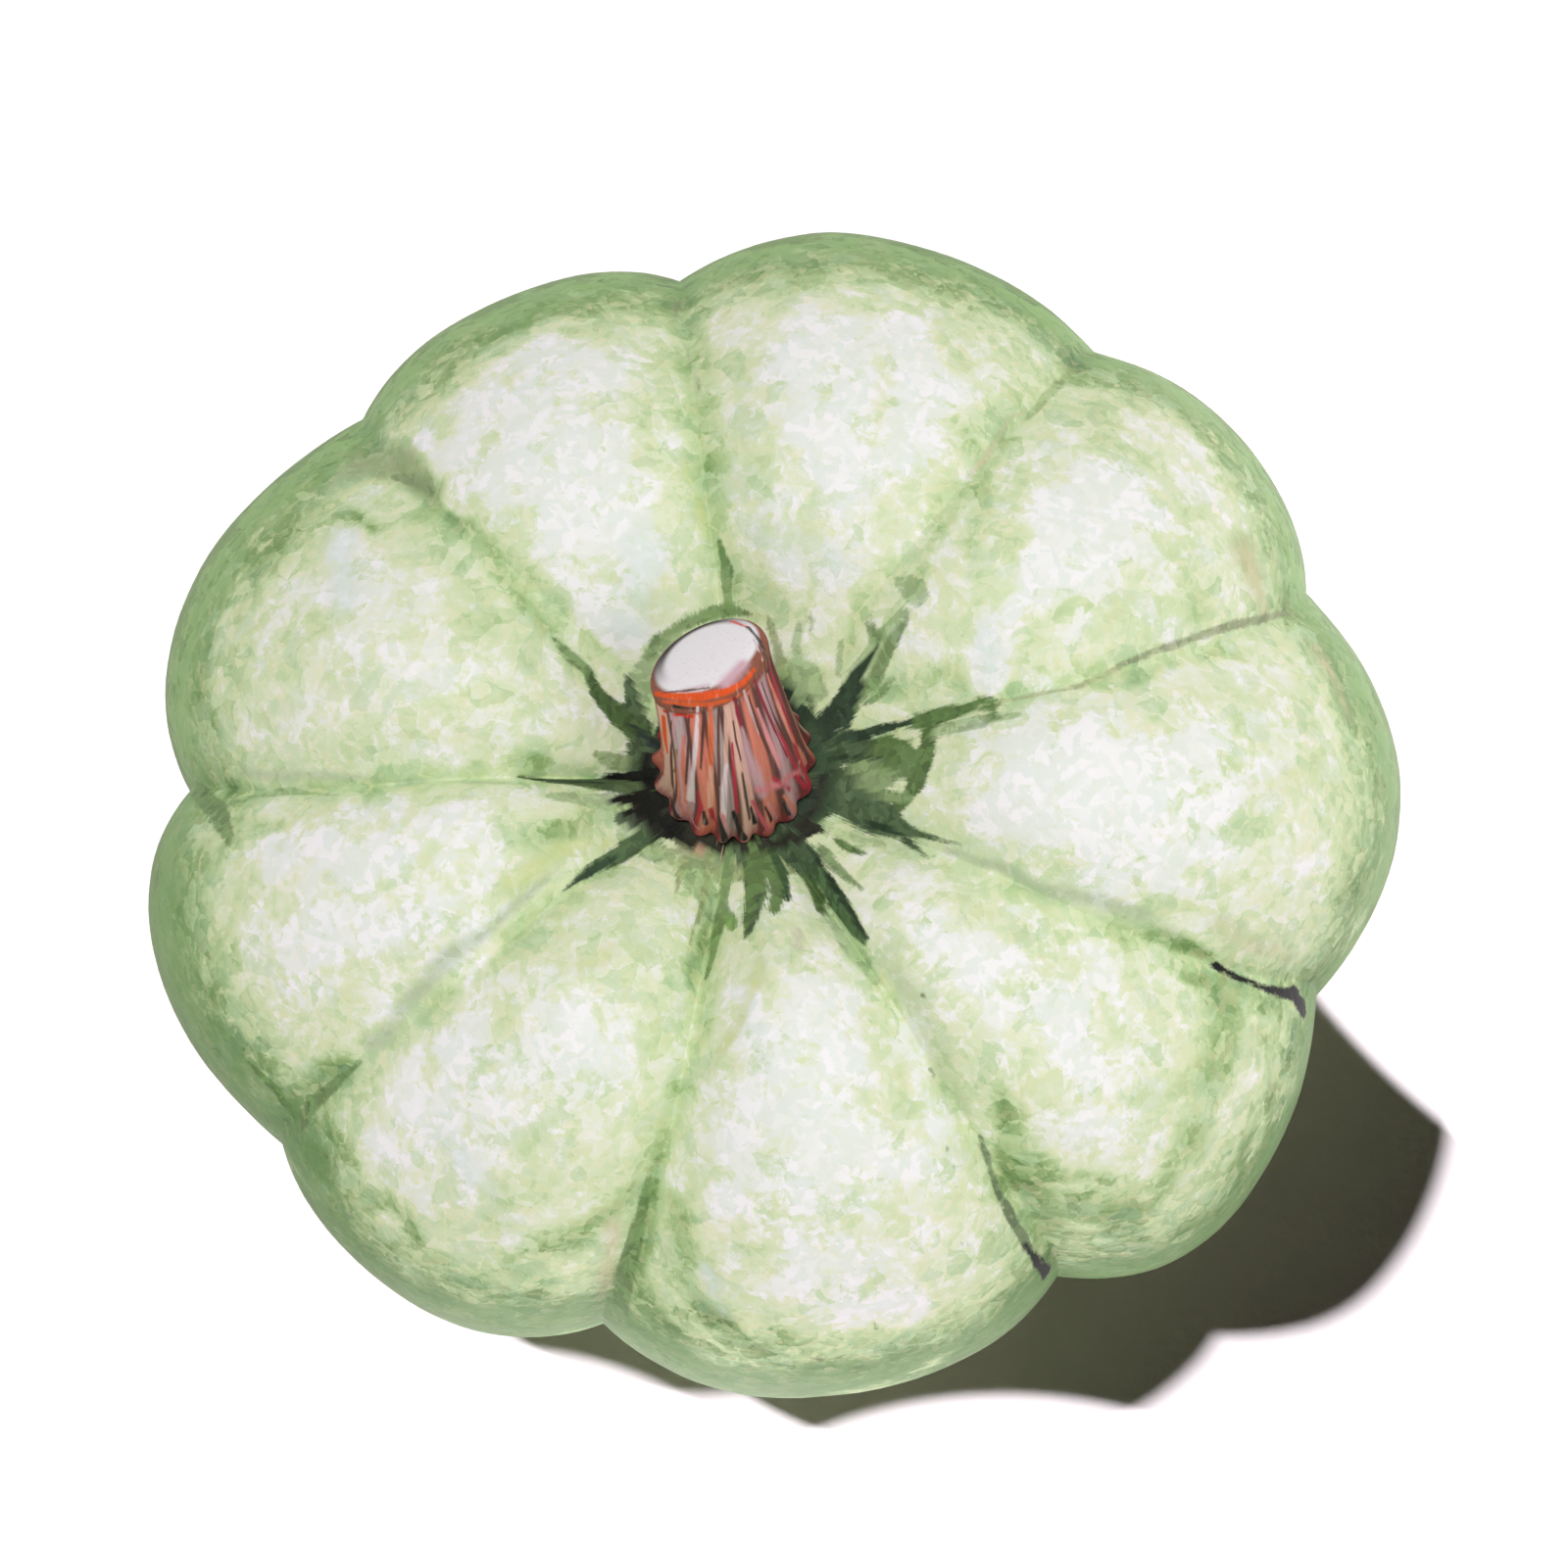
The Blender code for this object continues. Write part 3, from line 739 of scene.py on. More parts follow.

# %% [markdown]
# ## Tinted places
#
# A few places differ in hue: painted shade that greys the valleys and the front lobe's right side,
# bluish bloom, beige lobe ends and yellow patches.
# They go into one colour with its own strength, which the finish lays over the skin.

# %% Tints
# The sage and grey green are painted shade.
SAGE_SHADE = paint(178, 194, 160)
GREY_GREEN_SHADE = paint(148, 164, 118)
BLUISH = paint(212, 231, 222)
BEIGE = paint(207, 198, 156)
YELLOW = paint(208, 218, 138)
LINE = paint(140, 136, 108)
TINTS = (
    ((960,866, 1040,890, 1100,920, 1200,952), (10, 13, 11), (*SAGE_SHADE, 0.9)),
    ((910,985, 960,1080, 980,1130), (20, 24, 18), (*SAGE_SHADE, 0.45)),
    ((560,896, 450,985, 385,1062), (9, 14, 18), (*SAGE_SHADE, 0.85)),
    ((250,788, 400,797, 520,800), (12, 9, 5), (*SAGE_SHADE, 0.8)),
    ((360,478, 410,470, 436,498), (34, 32, 20), (*GREY_GREEN_SHADE, 0.8)),
    ((625,1250, 612,1325), (16, 14), (*BEIGE, 0.65)), ((1268,565, 1290,620), (34, 26), (*BEIGE, 0.75)),
    ((1345,665, 1378,725), (24, 14), (*BEIGE, 0.7)), ((1240,945, 1320,975), (18, 14), (*BEIGE, 0.5)),
    ((815,945, 816,966), (8, 8), (*paint(205, 200, 172), 0.9), 0.3),
    ((975,508, 1012,450, 1052,422), (5, 6, 4), (*BEIGE, 0.9)), ((1150,388, 1172,394), (4, 3), (*LINE, 0.8)),
    ((692,306, 700,350, 712,400), (6, 4), (*LINE, 0.7)), ((345,550, 350,620), (30, 24), (*BLUISH, 0.6)),
    ((1005,640, 1005,690), (22, 20), (*BLUISH, 0.5)), ((660,560, 640,650), (30, 26), (*BLUISH, 0.5)),
    ((780,545, 850,570), (22, 22), (*BLUISH, 0.4)), ((722,1296, 732,1334), (12, 12), (*BLUISH, 0.8)),
    ((450,1160, 500,1215), (20, 22), (*BLUISH, 0.5)),
    ((520,900, 570,870, 620,860), (20, 20, 10), (*YELLOW, 0.6)),
    ((570,990, 640,965), (16, 16), (*YELLOW, 0.5)),
    ((772,985, 760,1040, 726,1090), (12, 10, 6), (*YELLOW, 0.7)),
    ((1280,810, 1340,790), (26, 20), (*YELLOW, 0.35)), ((700,470, 720,540), (14, 14), (*YELLOW, 0.4)),
)
no_tint = np.tile((*SAGE_SHADE, 0.0), (len(places), 1))
store(rind, "tint", lay_on(rind, steady, no_tint, TINTS), "FLOAT_COLOR")

# %% [markdown]
# ## Streaks
#
# Dark green streaks run out from the stem's foot, where the lobes pinch together. Some are the skin's own
# striations, and some are painted shade in the cavity and the stem's painted shadow to its right. A few
# short strokes of painted shade mark the ends of the grooves. A later one lies over an earlier one,
# and a ring of painted shade circles the foot.

# %% Streaks round the stem and at the groove ends
# The darkest paints are painted shade and shadow, near black at the stem's foot and in two notches.
DARK_SHADOW = paint(24, 28, 23)
SHADE = paint(42, 44, 34)
TEAL = paint(50, 70, 50)
PINE = paint(84, 106, 74)
LEAF = paint(92, 121, 68)
MOSS = paint(112, 142, 86)
FERN = paint(144, 174, 118)
STRAW = paint(142, 158, 102)
OLIVE = paint(122, 106, 78)
STREAKS = (
    # washes round the foot, most of them painted shade in the cavity
    ((880,785, 905,790, 930,782), (16, 14, 8), MOSS), ((868,705, 895,662, 922,628), (14, 13, 8), FERN),
    ((950,748, 990,738, 1040,729), (9, 9, 4), FERN), ((690,874, 735,886, 800,882), (12, 18, 14), STRAW),
    ((712,900, 734,934), (18, 14), FERN), ((640,850, 668,872), (14, 12), FERN),
    ((560,812, 600,816, 640,822), (5, 9, 12), FERN),
    ((690,650, 670,668, 655,700, 648,730), (9, 13, 16, 14), FERN),
    ((640,692, 648,725, 656,765), (5, 14, 15), PINE), ((798,684, 820,694, 838,708), (12, 20, 9), FERN),
    ((848,846, 880,860, 905,862), (5, 7, 4), paint(176, 202, 140)),
    ((676,868, 690,882), (8, 6), paint(162, 188, 124)),
    ((700,878, 722,884, 745,880), (5, 6, 5), paint(140, 162, 108)),
    # above the stem, with a line of painted shadow behind its cut
    ((733,550, 737,566, 745,582, 747,592), (3, 5, 6, 3), paint(100, 134, 74)),
    ((739,584, 742,604, 744,618), (6, 7, 5), paint(126, 156, 98)),
    ((662,672, 670,654, 690,641, 720,627, 750,622, 772,632), (6, 6, 7, 8, 6, 3), MOSS),
    ((784,630, 790,650, 797,675), (3, 5, 5), STRAW), ((816,636, 812,660, 816,680), (3, 5, 4), FERN),
    ((825,624, 828,640), (3, 3), FERN), ((858,655, 856,685), (4, 5), FERN),
    # up and to the right
    ((918,592, 932,602, 940,609), (8, 14, 9), FERN), ((885,632, 893,650), (5, 7), MOSS),
    ((929,627, 915,645, 905,665, 895,690, 880,708, 868,724), (2, 5, 7, 8, 8, 6), MOSS),
    ((914,690, 900,706, 888,716), (2, 5, 4), MOSS),
    # to the right, where the stem's painted shadow lies on the rind
    ((838,756, 865,766, 900,765), (14, 17, 9), PINE),
    ((842,796, 868,815, 898,834, 930,850), (20, 25, 19, 5), PINE),
    ((900,762, 925,776, 930,795), (16, 19, 8), LEAF),
    ((945,742, 948,765, 936,800, 918,822), (8, 9, 9, 7), LEAF),
    ((880,797, 905,812, 926,815), (6, 8, 5), MOSS),
    ((932,737, 960,732, 985,725, 1002,716), (7, 11, 9, 4), LEAF),
    ((1004,713, 1010,724, 1012,732), (6, 8, 4), LEAF), ((1008,716, 1024,715), (4, 1), LEAF),
    ((848,769, 872,773, 896,775), (2, 3, 2), TEAL), ((890,842, 928,852), (5, 4), TEAL),
    ((922,846, 955,856, 986,863), (7, 3, 1), PINE), ((922,856, 937,868, 948,877), (5, 4, 1), PINE),
    ((893,661, 882,678, 870,695, 862,708, 852,726, 840,744), (2, 6, 7, 9, 13, 12), TEAL),
    ((876,702, 868,722, 860,742), (4, 8, 8), TEAL),
    ((802,705, 812,722, 824,738, 834,752), (4, 7, 8, 9), TEAL),
    ((934,736, 905,743, 885,749, 864,752), (3, 5, 6, 8), TEAL),
    ((828,750, 842,780, 840,815, 824,846), (12, 16, 16, 10), paint(60, 82, 56)),
    # below, the darkest of them painted shade under the toes
    ((852,856, 866,866, 883,872), (4, 6, 2), LEAF),
    ((838,866, 852,884, 866,897, 882,909), (5, 6, 5, 2), MOSS),
    ((848,928, 862,960, 882,988, 892,1002), (8, 12, 12, 5), paint(168, 194, 144)),
    ((697,880, 692,898, 690,914), (4, 3.5, 1.5), STRAW), ((722,884, 719,912, 711,944), (3, 5, 2.5), STRAW),
    ((708,942, 705,966), (2.5, 2), paint(152, 182, 110)), ((746,868, 741,900, 737,925), (6, 7.5, 5), MOSS),
    ((738,918, 732,950, 726,980, 720,998), (7, 8, 6, 3), MOSS),
    ((742,934, 748,944), (7, 8), paint(100, 148, 54)),
    ((768,858, 769,885, 771,910, 767,936, 761,958), (8, 11, 12, 9, 2), LEAF),
    ((776,912, 770,940, 762,957), (3, 4, 2), PINE),
    ((784,860, 790,888, 795,910, 789,930), (6, 9, 9, 6), LEAF),
    ((776,858, 790,872, 800,893, 804,918), (4, 5, 5, 3), paint(66, 92, 58)),
    ((824,896, 834,914, 838,931), (7, 8, 6), LEAF),
    ((796,858, 818,876, 838,896), (16, 16, 10), paint(76, 98, 68)),
    ((836,890, 856,922, 872,946, 884,965), (9, 13, 12, 3), paint(84, 112, 74)),
    ((830,870, 846,896, 866,925, 885,958), (3, 4, 4, 2), TEAL), ((752,862, 756,880), (6, 5), PINE),
    ((692,856, 718,862, 748,860), (6, 8, 6), OLIVE),
    ((702,867, 720,869, 738,868), (2, 3, 2), paint(190, 148, 120)),
    # to the left, ending in near-black painted shadow at the foot and under the toes
    ((610,770, 624,777, 642,782), (5, 9, 9), paint(126, 151, 97)),
    ((566,653, 577,666, 592,677, 603,691), (3, 6, 6, 6), MOSS),
    ((600,686, 608,706, 624,723, 641,738, 656,752), (6, 8, 10, 13, 12), paint(80, 106, 62)),
    ((652,764, 656,786), (14, 12), PINE), ((648,742, 664,758, 682,772), (4, 6, 6), paint(48, 62, 56)),
    ((526,793, 560,797, 600,799, 640,801, 666,800), (2, 6, 10, 14, 14), paint(84, 104, 70)),
    ((536,795, 570,797, 612,799), (2, 4, 4), TEAL),
    ((630,836, 650,838, 674,840), (6, 11, 10), paint(86, 102, 78)),
    ((574,909, 592,896, 612,883, 632,872, 652,859, 678,846), (1, 5, 8, 10, 9, 9), paint(82, 105, 70)),
    ((580,905, 604,889, 624,877), (1.5, 4, 4), TEAL), ((660,828, 682,846, 704,858), (16, 14, 8), SHADE),
    ((700,856, 726,862, 760,862), (7, 8, 7), SHADE), ((766,860, 806,856, 834,846), (6, 7, 7), SHADE),
    ((812,840, 832,824, 836,796), (6, 7, 6), SHADE), ((616,793, 640,793, 666,794), (4, 7, 9), DARK_SHADOW),
    ((627,817, 650,815, 674,816), (3, 8, 10), DARK_SHADOW), ((660,776, 662,800, 662,824), (8, 11, 10), DARK_SHADOW),
    ((640,829, 664,833, 682,844, 698,854), (3, 7, 9, 6), DARK_SHADOW),
    # at the ends of the grooves, painted shade in the notches, black in the two on the lower right
    ((662,1200, 654,1240, 641,1290, 630,1346), (3, 8, 12, 11), MOSS),
    ((368,1083, 345,1104, 322,1126, 304,1148), (3, 6, 8, 9), MOSS),
    ((250,1082, 282,1112, 302,1144), (4, 8, 8), paint(98, 138, 68)),
    ((236,818, 290,808, 345,812), (4, 5, 1), FERN), ((200,806, 222,828, 236,860), (9, 12, 6), MOSS),
    ((1096,378, 1070,402, 1048,428), (5, 6, 4), paint(150, 176, 112)),
    ((1022,716, 1100,701, 1140,683), (1.5, 2.5, 3), paint(172, 176, 134)),
    ((1134,683, 1170,668, 1215,652, 1262,637, 1312,626), (2, 4, 4, 5, 4), paint(146, 154, 120)),
    ((402,486, 425,492, 440,501), (4, 7, 5), paint(132, 150, 108)),
    ((1000,1160, 1012,1200, 1030,1240, 1050,1274), (3, 5, 7, 6), paint(112, 132, 96)),
    ((1235,983, 1262,998, 1296,1010, 1324,1017), (4, 4, 4, 8), DARK_SHADOW), ((1320,1012, 1330,1032), (7, 10), DARK_SHADOW),
    ((1047,1270, 1056,1285, 1068,1300), (3, 6, 9), DARK_SHADOW),
)
SPECKS = (
    (967, 1171), (971, 1191), (973, 1209), (980, 1231), (982, 1264), (989, 1271), (998, 1290), (951, 1093),
    (942, 1016), (372, 1244), (384, 1250), (434, 1300), (544, 1328), (838, 1386), (822, 1380), (893, 1352),
)
SPECK = paint(112, 128, 84)
STREAK_REACH = 3.0
# A ring of painted shade circles the stem's foot, under the streaks.
FOOT_REACH = 17.5 * MM
FOOT_SHADE = paint(56, 60, 46)
GREEN_BEHIND = 4 * MM  # past these the ring of painted shade at the foot is dark green, and elsewhere darker
GREEN_RIGHT = 9 * MM
specks = tuple(((x, y, x + 2, y + 4), (3, 2), SPECK) for x, y in SPECKS)
streak_depth, streak_paint = strokes_at(rind, places, specks + STREAKS, STREAK_REACH)
foot_depth = (FOOT_REACH - radius) / MM
at_foot = (streak_depth < 0) & (foot_depth > streak_depth)
in_green = (out[at_foot, 1:] > GREEN_BEHIND) | (out[at_foot, :1] > GREEN_RIGHT)
streak_paint[at_foot] = np.where(in_green, TEAL, FOOT_SHADE)
streak_depth = np.maximum(streak_depth, foot_depth)
covers = np.interp(streak_paint[:, 1], (0.16, 0.45), (1.0, 0.65))  # light paint is laid on thinly
store(rind, "streaks", streak_depth)
store(rind, "streak_paint", np.column_stack((streak_paint, covers)), "FLOAT_COLOR")
print("streaks:", len(STREAKS), "and specks:", len(SPECKS))

# %% [markdown]
# ## The grain of the skin
#
# Fine marks on a ribbed fruit run from the stem to the blossom end. So the mesh also stores a place
# in which one step round the fruit is worth many steps along it.

# %% Grain
GRAIN_STRETCH = 5.0
GRAIN_RADIUS = 90 * MM
around = out / np.maximum(radius, SAME_PLACE)[:, None] * GRAIN_RADIUS
along = (radius - height) / GRAIN_STRETCH
store(rind, "grain", np.column_stack((around, along)), "FLOAT_VECTOR")

# %% [markdown]
# ## The rind's finish
#
# In the picture the skin is made of short strokes, some warm, some green and some white.
# Long cells that run three ways and overlap give the strokes, and a level picks their colour from
# one ramp. The wax is one more layer, scrubbed on dry, and the rim of painted shade and the streaks lie over
# it.
# The bloom is dull, and the green skin under it has a slight waxy shine.

# %% Rind finish
skin = Finish("waxy_rind")
where = skin.place()
grain = skin.stored("grain", "Vector")
wavering = skin.shift(where, skin.noise(where, 240, 3, "Color"), 0.003)
broad = skin.strokes(wavering, 250, (20, 80, 140), 1.9)
small = skin.strokes(skin.shift(where, skin.noise(where, 700, 2, "Color"), 0.0012), 620, (50, 110, 170))
drift = skin.noise(where, 60, 4)
scrub = skin.noise(where, 130, 6, "Fac", 0.72)
dry_brush = skin.noise(where, 1500, 2)
fibres = skin.noise(grain, 900, 4)

pale_here = skin.stored("pale")
dabs = (skin.channel(broad, 0) - 0.5) * 0.17 + (skin.channel(small, 0) - 0.5) * 0.12
level = pale_here.math("MINIMUM", 0.68) + dabs + (drift - 0.5) * 0.3 + (scrub - 0.5) * 0.4
scrubbed = dabs * 1.3 + (drift - 0.5) * 0.5 + (scrub - 0.5) * 1.6 + (dry_brush - 0.5) * 0.3
wax_level = pale_here * 1.3 - 0.2 + scrubbed
wax = skin.rise(wax_level, 0.56, 0.88)
PALENESS = (
    (0.0, paint(76, 112, 58)), (0.12, paint(116, 150, 88)), (0.24, paint(150, 180, 118)),
    (0.36, paint(184, 210, 152)), (0.5, paint(214, 230, 183)), (0.64, paint(232, 239, 208)),
    (0.8, paint(242, 243, 222)), (1.0, paint(248, 249, 240)),
)
colour = skin.ramp(level, PALENESS)
warmth = skin.rise(skin.channel(small, 2), 0.6, 0.9)
colour = skin.mix(warmth * 0.25, colour, paint(238, 232, 184))
coolness = skin.rise(skin.channel(broad, 2), 0.62, 0.9)
colour = skin.mix(coolness * 0.22, colour, paint(160, 202, 164))
whiteness = skin.rise(skin.channel(small, 0), 0.3, 0.8)
wax_colour = skin.mix(whiteness, paint(237, 243, 237), paint(252, 251, 251))
wax_colour = skin.mix(skin.rise(skin.channel(broad, 0), 0.6, 0.9) * 0.5, wax_colour, paint(232, 239, 222))
colour = skin.mix(wax * 0.92, colour, wax_colour)
tint = skin.stored("tint", "Color")
colour = skin.mix(skin.stored("tint", "Alpha") * (0.5 + 0.5 * skin.channel(small, 2)), colour, tint)
# The rim is painted shade along the outline, darker on the near side than on the far side.
rim_here = skin.stored("rim")
rim = 1 - skin.rise(rim_here + (scrub - 0.5) * 1.1 + dabs * 2 + (drift - 0.5) * 0.8, 0.45, 1.35)
far_side = skin.rise(skin.channel(where, 1), -0.09, 0.05)
rim_shade_paint = skin.mix(far_side, paint(98, 140, 72), paint(150, 191, 118))
rim_strength = 0.3 + 0.5 * skin.channel(broad, 0) + 0.4 * skin.channel(small, 0)
colour = skin.mix(rim * rim_strength, colour, rim_shade_paint)
# A narrower, darker line of painted shade lies right at the outline.
edge = 1 - skin.rise(rim_here + dabs * 1.2, 0.04, 0.26)
colour = skin.mix(edge * rim_strength * 0.6, colour, paint(92, 122, 62))

ragged = (fibres - 0.5) * 1.4 + (scrub - 0.5) * 1.2 + (dry_brush - 0.5) * 0.8
streak = skin.rise(skin.stored("streaks") + ragged, -0.35, 0.45)
streak_paint = skin.stored("streak_paint", "Color")
streak_shade = skin.mix(skin.channel(small, 0), (0.7,) * 3, (1.35,) * 3)
coverage = streak * skin.stored("streak_paint", "Alpha")
colour = skin.mix(coverage, colour, skin.mix(1.0, streak_paint, streak_shade, "MULTIPLY"))

relief = scrub + dry_brush * 0.2
skin.end(
    Base_Color=colour,
    Roughness=0.56 + wax * 0.2 + dry_brush * 0.06,
    Specular_IOR_Level=0.25,
    Normal=skin.bump(relief, 0.0003),
)
rind.data.materials.append(skin.material)
stand_for(rind, "fruit")

# %% [markdown]
# ## The stem's form
#
# The stem is dry and woody: eighteen ribs run down it and spread into toes on the fruit.
# Its copy is walked ring by ring from the middle of the cut, so that every vertex knows
# how far down it is and where it stands round the stem, however the stem leans.

# %% Stem
RIBS = 18
FOOT_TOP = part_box("stem")[0].z + 0.5 * MM


def is_foot(face):
    return face.normal.z < -LEVEL and face.calc_center_median().z < FOOT_TOP


stem = quads_of("stem", "stem_bark", is_foot)


def rings_from_pole(mesh):
    """The stem's vertices ring by ring from the middle of the cut, each ring in order round the stem."""
    pole = max(mesh.verts, key=lambda vertex: (len(vertex.link_edges), vertex.co.z))
    ring = [pole.link_edges[0].other_vert(pole)]
    spokes = {edge.other_vert(pole) for edge in pole.link_edges}
    seen = {pole, ring[0]}
    while True:
        beside = [edge.other_vert(ring[-1]) for edge in ring[-1].link_edges]
        onward = [vertex for vertex in beside if vertex in spokes and vertex not in seen]
        if not onward:
            break
        ring.append(onward[0])
        seen.add(onward[0])
    rings = [[pole], ring]
    while True:
        below = [[e.other_vert(v) for e in v.link_edges if e.other_vert(v) not in seen] for v in rings[-1]]
        if not all(len(found) == 1 for found in below):
            return rings
        rings.append([found[0] for found in below])
        seen.update(rings[-1])


cage = bmesh.new()
cage.from_mesh(stem.data)
rings = rings_from_pole(cage)
walked = np.zeros((len(cage.verts), 3))
for row, ring in enumerate(rings):
    for column, vertex in enumerate(ring):
        turn = 2 * math.pi * column / len(ring)
        walked[vertex.index] = (math.cos(turn), math.sin(turn), row) if row else (0, 0, 0)
cage.free()
store(stem, "walked", walked, "FLOAT_VECTOR")
print("stem: rings of vertices", len(rings), "with", len(rings[1]), "in each")
subdivide(stem, 3)

# %% [markdown]
# ## The stem's colours
#
# The cut is pale pith inside an orange lip, with a dark line of painted shade on its far edge. Below it
# the ribs are salmon, peach and mauve with dark valleys, and crimson where they end. A base coat has all
# this round the whole stem, toned down to plain bark at the back. Touches add what the picture shows in
# front, among them painted highlights on two ribs, and painted shade on the cut's right side, under the lip
# and round the toes.

# %% Base coat of the stem
PITH = paint(248, 245, 246)
LIP = paint(150, 88, 66)
SALMON = paint(222, 132, 108)
PEACH = paint(232, 186, 166)
MAUVE = paint(206, 164, 168)
CRIMSON = paint(192, 46, 66)
VALLEY = paint(98, 62, 54)
DRY_GREY = paint(176, 158, 152)
PLAIN_BARK = paint(168, 114, 94)
CUT_EDGE_SHADE = paint(58, 46, 42)
RIB_COLOURS = (SALMON, PEACH, MAUVE, SALMON, DRY_GREY, PEACH, SALMON, MAUVE, CRIMSON)
CUT_ENDS = 3.5  # rings from the middle of the cut
CUT_FADE = 0.6
# The dark line on the cut's far edge is painted shade.
EDGE_LINE_AT = 3.15
EDGE_LINE_WIDTH = 0.95
EDGE_LINE_DARK = 1.4  # more than 1 leaves its middle flat
EDGE_LINE_SIDE = np.array((-0.6, 0.8, 0.0))  # from the middle of the cut to the upper left
EDGE_LINE_FADE = 8 * MM
EDGE_LINE_STARTS = 0.25
LIP_ENDS = 7.2
LIP_FADE = 0.8
TOES_START = 14.0
TOES_FADE = 2.5
TOES_SHARE = 0.55
VALLEY_ENDS = 0.35
VALLEY_FADE = 0.5
BACK_STARTS = 0.25  # how far the skin there still turns to the camera
BACK_FADE = 0.3
BACK_SHARE = 0.5
STEM_FADE = 0.6
STEM_RADIUS = 12 * MM
RING_HEIGHT = 0.35 * MM

bark_places = of_vertices(stem, "co")
walk = np.empty(len(bark_places) * 3, dtype=np.float32)
stem.data.attributes["walked"].data.foreach_get("vector", walk)
walk = walk.reshape(-1, 3)
ring_at = walk[:, 2]
rib_at = (np.arctan2(walk[:, 1], walk[:, 0]) / (2 * math.pi) % 1) * RIBS
on_rib = np.sin(math.pi * (rib_at % 1)) ** 0.7
rib_colour = np.array([RIB_COLOURS[int(rib) % len(RIB_COLOURS)] for rib in rib_at])


def spread(share, first, second):
    """first where the share is 0, second where it is 1."""
    share = np.clip(share, 0, 1)[:, None]
    return first + (np.array(second) - first) * share


coat = spread(smooth((on_rib - VALLEY_ENDS) / VALLEY_FADE), np.tile(VALLEY, (len(walk), 1)), rib_colour)
coat = spread(smooth((ring_at - TOES_START) / TOES_FADE) * TOES_SHARE, coat, CRIMSON)
unseen = smooth((BACK_STARTS - of_vertices(stem, "normal") @ np.array(BACK)) / BACK_FADE)
coat = spread(unseen * BACK_SHARE, coat, PLAIN_BARK)
coat = spread(1 - smooth((ring_at - LIP_ENDS + LIP_FADE / 2) / LIP_FADE), coat, LIP)
coat = spread(1 - smooth((ring_at - CUT_ENDS + CUT_FADE / 2) / CUT_FADE), coat, PITH)
from_cut = bark_places - bark_places[ring_at < 1].mean(axis=0)
upper_left = smooth(from_cut @ EDGE_LINE_SIDE / EDGE_LINE_FADE + EDGE_LINE_STARTS)
edge_line = smooth(EDGE_LINE_DARK * (1 - np.abs(ring_at - EDGE_LINE_AT) / EDGE_LINE_WIDTH))
coat = spread(edge_line * upper_left, coat, CUT_EDGE_SHADE)

